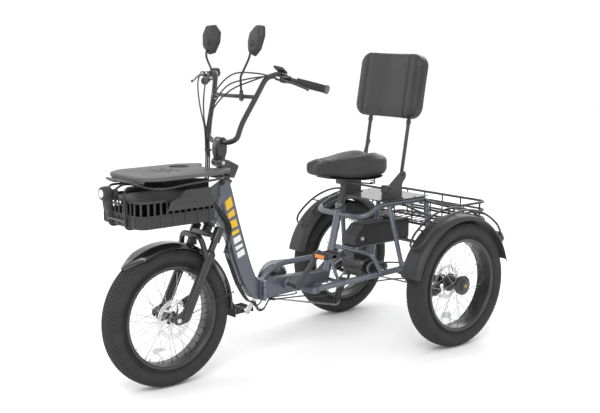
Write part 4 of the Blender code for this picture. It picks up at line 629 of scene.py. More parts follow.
def addWheel(label, centre, rotorSide, body, rearSide=0):
    centre = np.asarray(centre, float)
    casing, (middle, rise) = tyreShape(centre)
    makePiece(label + "Tyre", casing, body, "tyreRubber", [label + "_tyre"], sharp=60)
    makePiece(label + "Tread", treadShape(centre, middle, rise), body, "treadRubber")
    makePiece(label + "Rim", rimShape(centre), body, "blackPaint", [label + "_rim"], sharp=50)
    spokes, nipples = spokeShapes(centre, 0.040 if rearSide else 0.0262, 0.0345 if rearSide else 0.0365)
    makePiece(label + "Spokes", spokes, body, "steel")
    makePiece(label + "Nipples", nipples, body, "darkSteel")
    makePiece(label + "Rotor", rotorShape(centre, rotorSide * 0.0535), body, "silver")
    if rearSide:
        hub, nut = rearHubShape(rearSide)
        shaft = rod(centre - acrossBody * rearSide * 0.060, centre
            - acrossBody * rearSide * (abs(centre[0]) - 0.110), 0.0068)
        makePiece(label + "Hub", hub, body, "blackPaint", [label + "_hub"], sharp=30)
        makePiece(label + "HalfShaft", shaft, body, "darkSteel")
        makePiece(label + "HubNut", nut, body, "brass", sharp=20)
    else:
        makePiece(label + "Hub", frontHubShape(), body, "blackPaint", [label + "_hub"], sharp=30)
    for x in (-0.024, 0.024):
        makePiece(label + ("Reflector" if x > 0 else "InnerReflector"),
            reflectorShape(centre, x, -1.75, 0.150), body,
                  "clearLens", sharp=40)


addWheel("front", (0, frontAxle, wheelHeight), 1, "front_wheel")
addWheel("left", (rearTrack, 0, wheelHeight), -1, "left_wheel", 1)
addWheel("right", (-rearTrack, 0, wheelHeight), 1, "right_wheel", -1)

print("front frame")
mainTube = {"half": 0.0268, "marks": 7, "markStart": 0.16, "markPitch": 0.078}
frontEdge = [(-1.064, 0.792), (-1.046, 0.740), (-1.022, 0.640), (-0.994, 0.530), (-0.966, 0.444),
    (-0.930, 0.362),
             (-0.888, 0.303), (-0.853, 0.287)]
rearEdge = [(-1.004, 0.826), (-0.985, 0.764), (-0.952, 0.642), (-0.921, 0.540), (-0.894, 0.455),
    (-0.877, 0.412),
            (-0.866, 0.389), (-0.853, 0.375)]
headTube = drum([(0.0235, 0.022), (0.0255, 0.024), (0.0255, 0.220), (0.0235, 0.222)], steerLow, steerUp)
gusset = slab([(-1.020, 0.800), (-1.052, 0.775), (-1.086, 0.700), (-1.074, 0.660), (-1.056, 0.648),
    (-1.012, 0.575),
               (-0.985, 0.640)], -0.0205, 0.0205, "x", 0.005)
foldPlate = slab(roundedOutline((-0.038, 0.286), (0.038, 0.376), 0.006), -0.8545, -0.8424, "y", 0.0015)
knuckles = [drum([(0.0070, low), (0.0088, low + 0.001), (0.0088, low + 0.0250), (0.0070, low + 0.0260)],
                 (0.049, -0.842, 0.330), (0, 0, 1), 24) for low in (-0.0428, 0.0166)]
knuckles += [boxOf((0.030, -0.8513, 0.330 + low), (0.047, -0.8437, 0.330 + low + 0.026)) for low in (-0.0428,
    0.0166)]
ears = [boxOf((-0.052, -0.852, z), (-0.034, -0.8427, z + 0.010)) for z in (0.3525, 0.2975)]
makePiece("frontFrame", joined(betweenEdges(frontEdge, rearEdge, mainTube["half"], 64), headTube, gusset,
    foldPlate,
                               *knuckles, *ears), "front_frame", "framePaint", ["front_frame"], sharp=30)
pin = drum([(0.0070, -0.0455), (0.0070, -0.0435), (0.0046, -0.0430), (0.0046, 0.0430), (0.0070, 0.0435),
    (0.0070, 0.0455)],
           (0.049, -0.842, 0.330), (0, 0, 1), 20)
makePiece("foldPin", pin, "front_frame", "steel")
cups = joined(*[drum([(0.0205, u), (0.0268, u + 0.0006), (0.0272, u + 0.010), (0.0235, u + 0.0118)], steerLow,
    steerUp, 40)
                for u in (0.0106, 0.2104)])
makePiece("headsetCups", cups, "front_frame", "blackPaint")


def sideMark(along, length, slant, side, low=0.20, high=0.74):
    # a thin plate on the flank of the tube: its corners are mixes of the two edge curves at nearby heights
    a = smoothRoute([(0, y, z) for y, z in frontEdge], 200)
    b = smoothRoute([(0, y, z) for y, z in rearEdge], 200)
    pick = [int(200 * t) for t in (along, along + length, along + length + slant, along + slant)]
    weight = (low, low, high, high)
    corners = np.array([a[i] * (1 - w) + b[i] * w for i, w in zip(pick, weight)]) + acrossBody * side * 0.0264
    return extruded(corners, acrossBody * side * 0.0006)


markColours = ["yellowMark"] * 4 + ["whiteMark"] * 3
markLengths = [0.055, 0.030, 0.042, 0.020, 0.036, 0.022, 0.040]
for colour in ("yellowMark", "whiteMark"):
    place, bars = mainTube["markStart"], []
    for length, tone in zip(markLengths, markColours):
        if tone == colour:
            bars += [sideMark(place, length, -0.012, side) for side in (1, -1)]
        place += length + 0.016
    makePiece(colour, joined(*bars), "front_frame", colour)

latchEye = (-0.050, -0.842, 0.330)
latchArm = slab([(-0.842, 0.319), (-0.815, 0.3175), (-0.806, 0.318), (-0.801, 0.322), (-0.8005, 0.333),
    (-0.806, 0.3365),
                 (-0.842, 0.341)], -0.0530, -0.0470, "x", 0.0015)
makePiece("foldLatch", joined(drum([(0.0055, -0.0212), (0.0055, 0.0212)], latchEye, (0, 0, 1), 20), latchArm),
    "fold_latch",
          "blackPaint", ["fold_latch"], sharp=30)

print("rack and front basket")
rack = {"wire": 0.0046, "railCorner": 0.035}
sideRail = [(0.030, -1.052, 0.846), (0.100, -1.085, 0.852), (0.156, -1.150, 0.856), (0.166, -1.300, 0.852),
            (0.160, -1.400, 0.842), (0.128, -1.455, 0.842), (0.108, -1.518, 0.868)]
railRing = sideRail + [(-x, y, z) for x, y, z in sideRail[::-1]]
rails = [tube(bentRoute(railRing, rack["railCorner"]), rack["wire"], 12)]
for side in (1, -1):
    hoop = [(side * 0.060, -1.452, 0.845), (side * 0.060, -1.5282, 0.845), (side * 0.060, -1.5282, 0.6835),
            (side * 0.060, -1.146, 0.6835)]
    rails += [tube(bentRoute(hoop, 0.024), rack["wire"], 12),
              rod((side * 0.032, -1.150, 0.6838), (side * 0.032, -1.080, 0.668), rack["wire"], 12),
              tube(smoothRoute([(side * 0.158, -1.404, 0.842), (side * 0.120, -1.436, 0.840),
                  (side * 0.060, -1.452, 0.843)], 12),
                   rack["wire"], 12)]
rails += [rod((-0.061, -1.5285, z), (0.061, -1.5285, z), rack["wire"], 12) for z in (0.780, 0.716)]
rails += [rod((-0.062, -1.146, 0.6835), (0.062, -1.146, 0.6835), rack["wire"], 12),
          rod((-0.062, -1.452, 0.845), (0.062, -1.452, 0.845), rack["wire"], 12),
          tube(smoothRoute([(0, -1.536, 0.832), (0.004, -1.500, 0.850), (0, -1.452, 0.845)], 10),
              rack["wire"], 12),
          slab(roundedOutline((-0.015, 0.795), (0.015, 0.835), 0.004), -1.548, -1.5275, "y", 0.0015),
          slab(roundedOutline((-0.034, -1.0745), (0.034, -1.0325), 0.008), 0.838, 0.8558, "z", 0.0015)]
bolts = [drum([(0.001, 0.0), (0.0045, 0.0005), (0.0045, 0.003), (0.001, 0.0042)], (x, -1.054, 0.8555),
    (0, 0, 1), 12)
         for x in (-0.024, 0.024)]
makePiece("rackRails", joined(*rails), "front_frame", "blackPaint", ["rack_rails"])
makePiece("rackBolts", joined(*bolts), "front_frame", "steel")

tub = {"low": 0.6885, "band": 0.7400, "top": 0.7990, "wall": 0.0028, "corner": 0.045, "half": 0.150,
    "front": -1.518,
       "back": -1.150}


def tubOutline(grow=0.0, steps=9):
    return roundedOutline((-tub["half"] - grow, tub["front"] - grow),
        (tub["half"] + grow, tub["back"] + grow),
                          max(0.004, tub["corner"] + grow), steps)


def tubRing(grow, z):
    ring = tubOutline(grow)
    return np.hstack([ring, np.full((len(ring), 1), z)])


# the lower shell goes up outside and down inside, with a rolled lip at the height of the window band
lowerTub = lofted([tubRing(g, z) for g, z in ((-0.020, 0.6890), (-0.008, 0.6885), (-0.002, 0.6915),
    (-0.0008, 0.700),
                                              (-0.0002, 0.7350), (0.0014, 0.7370), (0.0014, 0.7415),
                                              (-0.0005, 0.7425),
                                              (-0.0030, 0.7420), (-0.0034, 0.700), (-0.0060, 0.6935),
                                              (-0.020, 0.6925))])
topLip = lofted([tubRing(g, z) for g, z in ((0.0, 0.7890), (0.0016, 0.7905), (0.0016, 0.7975), (0.0, 0.7990),
    (-0.0032, 0.7990),
                                            (-0.0036, 0.7900))] + [tubRing(0.0, 0.7890)])
slats, ribs = [], []
ringMiddle = tubOutline(-0.0016, 40)
onward = np.linalg.norm(np.roll(ringMiddle, -1, 0) - ringMiddle, axis=1)
walked = np.concatenate([[0], np.cumsum(onward)[:-1]])
total = onward.sum()


def onRing(distance):
    # the point of the wall's middle line at a distance along it, and the direction there
    distance = distance % total
    a = np.array([np.interp(distance, np.append(walked, total),
        np.append(ringMiddle[:, k], ringMiddle[0, k])) for k in (0, 1)])
    d = (distance + 0.002) % total
    b = np.array([np.interp(d, np.append(walked, total), np.append(ringMiddle[:, k],
        ringMiddle[0, k])) for k in (0, 1)])
    return a, unit(b - a)


for k in range(44):
    point, direction = onRing(k * total / 44)
    axes = [(*direction, 0), (-direction[1], direction[0], 0), (0, 0, 1)]
    slats.append(slantedBox((*point, 0.766), axes, (0.0042, 0.0013, 0.0255), 0.0005))
    if k % 2 == 0:
        outwards = np.array([direction[1], -direction[0]])
        ribs.append(slantedBox((*(point + outwards * 0.0022), 0.7140), axes, (0.0032, 0.0012, 0.0200),
            0.0006))
makePiece("basketTub", joined(lowerTub, topLip, *slats, *ribs), "front_frame", "blackPlastic", ["basket_tub"],
    sharp=35)
panelOuter = [(-1.405, 0.757), (-1.392, 0.792), (-1.350, 0.806), (-1.325, 0.8315), (-1.200, 0.8315),
    (-1.200, 0.757)]
sidePanel = slab(panelOuter, 0.1700, 0.1740, "x", 0.0010)
bentPart = extruded([(0.1725, -1.202, 0.757), (0.1725, -1.202, 0.8315), (0.040, -1.064, 0.829),
    (0.040, -1.064, 0.776),
                     (0.052, -1.078, 0.776), (0.052, -1.078, 0.765)], (-0.0028, -0.0024, 0))
groove = slab([(-1.355, 0.786), (-1.215, 0.786), (-1.215, 0.806), (-1.340, 0.806)], 0.1738, 0.1752, "x",
    0.0006)
screws = [drum([(0.0008, 0.0), (0.0044, 0.0004), (0.0040, 0.0022), (0.0008, 0.0028)], (0.1738, y, 0.771),
    segments=14)
          for y in (-1.376, -1.236)]
feet = [boxOf((0.1480, y, 0.7600), (0.1712, y + 0.012, 0.7640), 0.0008) for y in (-1.376, -1.256)]
makePiece("sidePanels", onBothSides(joined(sidePanel, bentPart, groove, *feet)), "front_frame",
    "blackPlastic")
makePiece("sidePanelScrews", onBothSides(joined(*screws)), "front_frame", "darkSteel")

lidEdge = [(0.1095, -1.4965), (0.1590, -1.4300), (0.1590, -1.150), (0.1120, -1.0590), (0.0920, -1.0590),
    (0.0620, -1.0970),
           (0.0340, -1.1165)]
lidOutline = bentRoute([(x, y, 0) for x, y in lidEdge] + [(-x, y, 0) for x, y in lidEdge[::-1]], 0.026, 6,
    closed=True)[:, :2]
lidBody = lofted([np.hstack([inset(lidOutline, amount), np.full((len(lidOutline), 1), z)])
                  for amount, z in ((0.0045, 0.8720), (0.0010, 0.8722), (0.0, 0.8760), (0.0, 0.8815),
                      (0.0012, 0.8850),
                                    (0.0040, 0.8866), (0.0090, 0.8869))])
lidSkirt = slab(roundedOutline((-0.115, 0.860), (0.115, 0.8760), 0.004), -1.482, -1.470, "y", 0.002)
lidHolder = makePiece("basketLid", joined(lidBody, lidSkirt), "basket_lid", "greyPlastic", ["basket_lid"],
    sharp=28)
# the cup and the slots are cut from the top of the lid
cutters = [drum([(0.041, 0.8810), (0.043, 0.90)], (-0.070, -1.190, 0), (0, 0, 1), 64)]
for y, low, high in ((-1.340, -0.055, 0.030), (-1.316, -0.030, 0.055), (-1.292, -0.055, 0.030),
    (-1.268, -0.030, 0.055)):
    cutters.append(slab(roundedOutline((low, y), (high, y + 0.008), 0.0039), 0.8838, 0.90, "z", 0))
cutterPiece = makePiece("lidCutter", joined(*cutters), "basket_lid", "greyPlastic")
carve = lidHolder.modifiers.new("carve", "BOOLEAN")
carve.object, carve.operation, carve.solver = cutterPiece, "DIFFERENCE", "EXACT"
bpy.context.view_layer.update()
carved = bpy.data.meshes.new_from_object(lidHolder.evaluated_get(bpy.context.evaluated_depsgraph_get()))
lidHolder.modifiers.clear()
lidHolder.data = carved
carved.set_sharp_from_angle(angle=math.radians(28))
bpy.data.objects.remove(cutterPiece)
cupFloor = drum([(0.0400, 0.8806), (0.0404, 0.8812), (0.0360, 0.8822), (0.020, 0.8818), (0.001, 0.8818)],
                (-0.070, -1.190, 0), (0, 0, 1), 48)
makePiece("lidCup", cupFloor, "basket_lid", "rubber")

lampShell = drum([(0.0200, 0.0), (0.0245, 0.0012), (0.0262, 0.0060), (0.0270, 0.0140), (0.0268, 0.0300),
    (0.0240, 0.0370),
                  (0.0190, 0.0415), (0.0100, 0.0440)], (0, -1.5945, 0.824), (0, 1, 0))
lampNeck = boxOf((-0.012, -1.560, 0.806), (0.012, -1.5487, 0.828), 0.002)
hornRings = []
for z, shift, wide, deep in ((0.818, 0.0, 0.019, 0.014), (0.800, 0.002, 0.0218, 0.0155),
    (0.776, 0.004, 0.0215, 0.0150),
                             (0.756, 0.006, 0.0195, 0.0130), (0.7485, 0.007, 0.0140, 0.0090)):
    hornRings.append(np.hstack([squircle(36, 0.55) * (wide, deep) + (0, -1.570 + shift),
        np.full((36, 1), z)]))
makePiece("headlamp", joined(lampShell, lampNeck, lofted(hornRings[::-1])), "front_frame", "blackPlastic",
    ["headlamp"], sharp=32)
makePiece("headlampLens", drum([(0.0150, 0.0010), (0.0150, -0.0006), (0.0120, -0.0022), (0.0060, -0.0032),
    (0.0010, -0.0035)],
                               (0, -1.5945, 0.824), (0, 1, 0)), "front_frame", "clearLens", sharp=40)
makePiece("headlampRing", turned([(0.0155, 0.0), (0.0175, 0.0), (0.0170, -0.0022), (0.0157, -0.0020)],
                                 (0, -1.5945, 0.824), (0, 1, 0)), "front_frame", "silver")

print("fork and front fender")
fork = {"legX": 0.080, "legRadius": 0.0215, "innerRadius": 0.0140}
crown = [drum([(0.0200, -0.014), (0.0200, 0.008), (0.0185, 0.0100)], steerLow, steerUp, 32),
         rod(steerPoint(-0.018), steerPoint(0.290), 0.0142, 24)]
crownRings = []
for x in np.linspace(-0.090, 0.090, 19):
    thick = 0.0125 - 0.0030 * (abs(x) / 0.09)
    deep = 0.0185 - 0.002 * (abs(x) / 0.09) ** 2
    ring = squircle(28, 0.45)
    crownRings.append(steerPoint(-0.0250, 0.001, x)[None] + ring[:, :1] * steerAhead * deep
        + ring[:, 1:] * steerUp * thick)
crown.append(lofted(crownRings))
crown += [drum([(0.0185, -0.0490), (0.0205, -0.0465), (0.0205, 0.008), (0.0180, 0.0118)],
    steerLow + acrossBody * x, steerUp, 32)
          for x in (-fork["legX"], fork["legX"])]
makePiece("forkCrown", joined(*crown), "steering", "blackPaint", ["fork_crown"])
makePiece("forkStanchions", joined(*[rod(steerPoint(-0.200, 0, x), steerPoint(-0.01, 0, x),
    fork["innerRadius"], 32)
                                     for x in (-fork["legX"], fork["legX"])]), "steering", "glossBlack")
caps = [drum([(0.0150, 0.0115), (0.0150, 0.0135), (0.0110, 0.0150), (0.0010, 0.0155)],
    steerLow + acrossBody * x, steerUp, 24)
        for x in (-fork["legX"], fork["legX"])]
makePiece("forkCaps", joined(*caps), "steering", "darkSteel")
legs = []
for side in (1, -1):
    x = side * fork["legX"]
    legs.append(drum([(0.0160, -0.385), (0.0205, -0.380), (0.0215, -0.365), (0.0205, -0.300),
        (0.0200, -0.220), (0.0215, -0.130),
                      (0.0222, -0.113), (0.0238, -0.111), (0.0240, -0.099), (0.0225, -0.0965),
                      (0.0150, -0.0960)],
                     steerLow + acrossBody * x, steerUp, 40))
    dropout = [(-1.262, 0.275), (-1.300, 0.268), (-1.322, 0.274), (-1.330, 0.288), (-1.326, 0.304),
        (-1.300, 0.316),
               (-1.262, 0.330)]
    legs.append(slab(dropout, x - 0.006, x + 0.006, "x", 0.002))
archRoute = bentRoute([steerPoint(-0.128, 0.006, 0.0815), steerPoint(-0.085, 0.042, 0.0805),
    steerPoint(-0.052, 0.064, 0.062),
                       steerPoint(-0.050, 0.066, 0.0), steerPoint(-0.052, 0.064, -0.062),
                       steerPoint(-0.085, 0.042, -0.0805),
                       steerPoint(-0.128, 0.006, -0.0815)], 0.034, 9)
legs.append(tube(archRoute, 0.0112, 20, flat=1.1))
legs.append(boxOf((-0.020, -1.192, 0.6000), (0.020, -1.166, 0.6090), 0.003))
makePiece("forkLowers", joined(*legs), "fork", "blackPaint", ["fork_lowers"], sharp=32)
wiper = [turned([(0.0146, -0.0965), (0.0195, -0.0960), (0.0190, -0.0900), (0.0150, -0.0880)],
    steerLow + acrossBody * x, steerUp)
         for x in (-fork["legX"], fork["legX"])]
makePiece("forkWipers", joined(*wiper), "fork", "rubber")


def calliperShape(centre, tilt):
    # two jaws with a gap for the rotor, a bridge over them, a round boss on the outside and a flatter one on
    # the inside
    along, up = np.array([0, math.cos(tilt), math.sin(tilt)]), np.array([0, -math.sin(tilt), math.cos(tilt)])
    axes = [acrossBody, along, up]
    centre = np.asarray(centre, float)
    jaws = [slantedBox(centre + acrossBody * x, axes, (0.0042, 0.0195, 0.0235), 0.003) for x in (-0.0073,
        0.0073)]
    bridge = slantedBox(centre + along * 0.0165 + up * 0.004, axes, (0.0110, 0.0045, 0.0180), 0.002)
    knob = drum([(0.0010, 0.0112), (0.0105, 0.0115), (0.0110, 0.0160), (0.0080, 0.0175), (0.0010, 0.0178)],
        centre, segments=28)
    inner = drum([(0.0010, -0.0112), (0.0095, -0.0115), (0.0090, -0.0135), (0.0010, -0.0138)], centre,
        segments=28)
    return joined(*jaws, bridge, knob, inner)


makePiece("frontCalliper", calliperShape((0.0535, -1.241, 0.348), 0.35), "fork", "darkSteel")
nuts = joined(*[drum([(0.0105, s * 0.0865), (0.0105, s * 0.0945), (0.0085, s * 0.0958)],
    (0, frontAxle, wheelHeight), segments=6)
                for s in (1, -1)],
              *[drum([(0.0070, s * 0.0700), (0.0125, s * 0.0702), (0.0125, s * 0.0730), (0.0070, s * 0.0732)],
                     (0, frontAxle, wheelHeight), segments=32) for s in (1, -1)],
              rod((-0.0975, frontAxle, wheelHeight), (0.0975, frontAxle, wheelHeight), 0.0066, 24))
makePiece("frontAxle", nuts, "fork", "silver", ["front_axle"], sharp=20)


def fenderShape(centre, half, inner, outer, start, end, steps=56, tip=None):
    # a crowned band: radius falls with the fourth power of the distance across, and its edge is
    # rolled to a small bead

    across = np.linspace(-1, 1, 25)
    drop = 0.020 * np.abs(across) ** 5
    top = np.stack([outer - drop, across * half], -1)
    under = np.stack([inner - drop[::-1] * 0.96, across[::-1] * half * 0.955], -1)
    profile = np.concatenate([top, under])
    angle = np.linspace(start, end, steps)
    narrow = np.ones(steps) if tip is None else np.interp(angle, [tip[0], tip[1]], [1.0, tip[2]])
    x = centre[0] + profile[None, :, 1] * narrow[:, None]
    rings = np.stack([x, centre[1] + profile[None, :, 0] * np.cos(angle)[:, None],
                      centre[2] + profile[None, :, 0] * np.sin(angle)[:, None]], -1)
    beads = []
    for side in (1, -1):
        edge = np.stack([centre[0] + side * half * narrow * 0.985,
                         centre[1] + (outer - 0.0205) * np.cos(angle),
                         centre[2] + (outer - 0.0205) * np.sin(angle)], -1)
        beads.append(tube(edge, 0.0016, 8))
    return joined(lofted(rings), *beads)


frontCentre = (0, frontAxle, wheelHeight)
makePiece("frontFender", fenderShape(frontCentre, 0.0555, 0.3062, 0.3088, math.radians(-2), math.radians(132),
    64,
                                     (math.radians(116), math.radians(132), 0.16)), "fork", "glossBlack",
                                     ["front_fender"])
flap = extruded([(-0.040, -1.0036, 0.302), (0.040, -1.0036, 0.302), (0.046, -0.9965, 0.243),
    (0.040, -0.9960, 0.236),
                 (-0.040, -0.9960, 0.236), (-0.046, -0.9965, 0.243)], (0, 0.0022, 0))
makePiece("frontFlap", flap, "fork", "rubber")
stays = []
for side in (1, -1):
    stays += [tube(smoothRoute([(side * 0.0545, -1.0130, 0.353), (side * 0.0640, -1.120, 0.330),
        (side * 0.0735, -1.242, 0.302)], 12), 0.0018, 8),
              drum([(0.0008, 0.0), (0.0042, 0.0004), (0.0042, 0.0022), (0.0008, 0.0030)],
                   (side * 0.0545 - 0.0015, -1.0130, 0.353), segments=12)]
stays.append(boxOf((-0.012, -1.193, 0.570), (0.012, -1.165, 0.5990), 0.001))
makePiece("frontFenderStays", joined(*stays), "fork", "darkSteel")

print("rear frame")
seatTilt = math.radians(14.66)
rearTubes = {"loop": 0.0124, "stay": 0.0134, "strut": 0.0110}
crankPlace = np.array([0, -0.703, 0.335])
motorPlace = np.array([0, -0.255, 0.350])


def seatLine(z):
    # a point of the leaning seat tube at a height
    return np.array([0, -0.3615 + (z - 0.652) * math.tan(seatTilt), z])


beam = betweenEdges([(-0.8325, 0.372), (-0.760, 0.3695), (-0.640, 0.3640), (-0.530, 0.3590), (-0.456, 0.353)],
                    [(-0.8325, 0.280), (-0.760, 0.2845), (-0.640, 0.2890), (-0.530, 0.2950),
                        (-0.456, 0.3005)], 0.0258, 24)
frameShapes = [beam, slab(roundedOutline((-0.038, 0.286), (0.038, 0.376), 0.006), -0.8414, -0.8295, "y",
    0.0015),
               drum([(0.0072, -0.0160), (0.0088, -0.0150), (0.0088, 0.0150), (0.0072, 0.0160)],
                   (0.049, -0.842, 0.330), (0, 0, 1), 24),
               boxOf((0.030, -0.8403, 0.3147), (0.047, -0.832, 0.3453)),
               drum([(0.0195, -0.045), (0.0215, -0.043), (0.0215, 0.043), (0.0195, 0.045)], crankPlace),
               tube(bentRoute([(0, -0.826, 0.352), (0, -0.792, 0.392), (0, -0.716, 0.424),
                   (0, -0.405, 0.424)], 0.08, 9), 0.0128, 20),
               rod(seatLine(0.296), seatLine(0.652), 0.0174, 28),
               drum([(0.0178, 0.0), (0.0206, 0.001), (0.0206, 0.015), (0.0178, 0.016)], seatLine(0.636),
                   (0, math.sin(seatTilt), math.cos(seatTilt)), 32),
               slab(roundedOutline((-0.074, -0.585), (0.074, -0.545), 0.010), 0.2735, 0.303, "z", 0.004),
               rod((-0.098, -0.446, 0.313), (0.098, -0.446, 0.313), 0.0085, 16),
               rod((-0.155, 0.045, 0.432), (0.155, 0.045, 0.432), 0.0085, 16)]
halfLoop = [(0.157, 0.045, 0.650), (0.157, -0.262, 0.650), (0.157, -0.345, 0.612), (0.110, -0.3755, 0.606)]
frameShapes.append(tube(bentRoute(halfLoop + [(-x, y, z) for x, y, z in halfLoop[::-1]], 0.040, 8,
    closed=True),
                        rearTubes["loop"], 20, closed=True))
for side in (1, -1):
    frameShapes += [rod((0.055 * side, -0.557, 0.290), (0.1975 * side, -0.150, 0.350), rearTubes["stay"], 24),
                    rod((0.157 * side, -0.205, 0.650), (0.1965 * side, -0.150, 0.350), rearTubes["strut"],
                        20),
                    rod((0.157 * side, 0.045, 0.650), (0.193 * side, 0.030, 0.300), rearTubes["strut"], 20),
                    rod((0, -0.424, 0.412), (0.088 * side, -0.446, 0.313), 0.0075, 14)]
    outline = [(-0.182, 0.332), (-0.178, 0.362), (-0.166, 0.368), (0.045, 0.330), (0.055, 0.318),
        (0.055, 0.262), (0.045, 0.256),
               (-0.030, 0.255)]
    frameShapes.append(slab(outline, *sorted((0.1935 * side, 0.2005 * side)), "x", 0.0015))
    for place, radius, axis in (((0.100 * side, -0.430, 0.3091), 0.0142, (0.1425 * side, 0.407, 0.060)),
                                ((0.157 * side, -0.190, 0.640), 0.0135, (1, 0, 0))):
        frameShapes.append(drum([(radius * 0.9, -0.008), (radius, -0.006), (radius, 0.006),
            (radius * 0.9, 0.008)], place, axis, 24))
frameShapes += [tube(bentRoute([(-0.171, -0.262, 0.338), (-0.152, -0.300, 0.4295), (0.152, -0.300, 0.4295),
    (0.171, -0.262, 0.338)],
                               0.045, 9), 0.0095, 16),
                slab(roundedOutline((-0.038, -0.312), (0.038, 0.053), 0.006), 0.4385, 0.4445, "z", 0.0012)]
makePiece("rearFrame", joined(*frameShapes), "rear_frame", "framePaint", ["rear_frame"], sharp=32)
clampBolt = joined(rod((-0.024, -0.348, 0.644), (0.024, -0.348, 0.644), 0.0032, 12),
                   slab(roundedOutline((-0.352, 0.637), (-0.338, 0.651), 0.004), 0.0085, 0.0145, "x", 0.001),
                   tube(smoothRoute([(0.024, -0.346, 0.644), (0.028, -0.366, 0.640), (0.022, -0.400, 0.634),
                       (0.012, -0.424, 0.630)], 14),
                        np.linspace(0.0048, 0.0034, 14), 10))
makePiece("seatClamp", clampBolt, "rear_frame", "darkSteel")

deckTop = slab(roundedOutline((-0.167, -0.236), (0.167, 0.052), 0.012), 0.6628, 0.6667, "z", 0.0012)
makePiece("deckPlate", deckTop, "rear_frame", "deckPlate", ["deck_plate"])
deckScrews = [drum([(0.0008, 0.6666), (0.0058, 0.6668), (0.0052, 0.6684), (0.0008, 0.6694)], (x, y, 0),
    (0, 0, 1), 16)
              for x in (-0.152, 0.152) for y in (-0.222, -0.030, 0.036)]
makePiece("deckScrews", joined(*deckScrews), "rear_frame", "darkSteel")

print("battery, motor and axle")
caseRings = []
for x, shrink in ((-0.0452, 0.0065), (-0.0440, 0.0025), (-0.0405, 0.0), (-0.0050, 0.0), (-0.0045, 0.0012),
    (0.0045, 0.0012),
                  (0.0050, 0.0), (0.0405, 0.0), (0.0440, 0.0025), (0.0452, 0.0065)):
    outline = bentRoute([(-0.308, 0.4455, 0), (-0.308, 0.490, 0), (-0.250, 0.5445, 0), (0.049, 0.5445, 0),
        (0.049, 0.4455, 0)],
                        0.012, 6, closed=True)[:, :2]
    ring = inset(outline, shrink) if shrink else outline
    caseRings.append(np.hstack([np.full((len(ring), 1), x), ring]))
makePiece("batteryCase", joined(lofted(caseRings), boxOf((-0.030, -0.060, 0.5440), (0.030, -0.040, 0.5560),
    0.003),
                                slab([(-0.235, 0.452), (-0.235, 0.505), (-0.205, 0.533), (0.030, 0.533),
                                    (0.030, 0.452)],
                                     0.0445, 0.0466, "x", 0.0018)),
          "rear_frame", "blackPlastic", ["battery_case"], sharp=32)
lock = drum([(0.0100, 0.0440), (0.0100, 0.0472), (0.0080, 0.0484), (0.0070, 0.0470), (0.0010, 0.0470)],
    (0, -0.262, 0.480), segments=32)
makePiece("batteryLock", joined(lock, boxOf((0.0466, -0.2628, 0.4755), (0.0476, -0.2612, 0.4845), 0)),
    "rear_frame", "steel")
motorProfile = [(0.0120, -0.0450), (0.0440, -0.0450), (0.0490, -0.0435), (0.0510, -0.0400)]
for x in np.arange(-0.034, 0.072, 0.009):
    motorProfile += [(0.0510, x), (0.0524, x + 0.0008), (0.0524, x + 0.0030), (0.0510, x + 0.0038)]
motorProfile += [(0.0515, 0.0800), (0.0480, 0.0855), (0.0400, 0.0872), (0.0250, 0.0872), (0.0235, 0.0900),
    (0.0120, 0.0905)]
motorBolts = [drum([(0.0008, 0.0868), (0.0038, 0.0872), (0.0034, 0.0896), (0.0008, 0.0900)],
                   motorPlace + 0.034 * np.array([0, math.cos(a), math.sin(a)]),
                   segments=12) for a in np.arange(6) * math.pi / 3]
lugs = [slab(roundedOutline((-0.030, -0.300), (0.030, -0.280), 0.004), 0.376, 0.4192, "z", 0.0015),
        slab(roundedOutline((-0.030, -0.226), (0.030, -0.212), 0.004), 0.388, 0.4382, "z", 0.0015)]
makePiece("motorHousing", joined(drum(motorProfile, motorPlace, segments=56), *lugs, *motorBolts),
    "rear_frame", "blackPaint",
          ["motor_housing"], sharp=30)
housings = []
for side, low, high in ((1, 0.146, 0.300), (-1, 0.064, 0.300)):
    housings.append(drum([(0.0150, low * side), (0.0180, (low + 0.002) * side),
        (0.0180, (high - 0.012) * side),
                          (0.0205, (high - 0.011) * side), (0.0205, (high - 0.001) * side),
                          (0.0100, high * side)],
                         (0, 0, wheelHeight), segments=36))
    mount = slab([(-0.066, 0.240), (-0.010, 0.312), (0.004, 0.314), (0.012, 0.304), (0.012, 0.274),
        (-0.045, 0.215), (-0.062, 0.216)],
                 *sorted((0.287 * side, 0.2925 * side)), "x", 0.001)
    housings.append(mount)
    makePiece(("left" if side > 0 else "right") + "AxleHousing", joined(*housings[-2:]), "rear_frame",
        "blackPaint",
              ["axle_housing_left" if side > 0 else "axle_housing_right"])
    makePiece(("left" if side > 0 else "right") + "Calliper",
              onSide(joined(calliperShape((rearTrack - 0.0535, -0.0700, 0.263), 0.45),
                            slantedBox((rearTrack - 0.071, -0.060, 0.238), np.eye(3), (0.012, 0.006, 0.009),
                                0.001)), side),
              "rear_frame", "darkSteel")

carrierCase = drum([(0.0160, 0.0665), (0.0260, 0.0680), (0.0300, 0.0720), (0.0300, 0.0980), (0.0285, 0.1020),
    (0.0260, 0.1180),
                    (0.0260, 0.1380), (0.0240, 0.1410), (0.0160, 0.1435)], (0, 0, wheelHeight), segments=40)


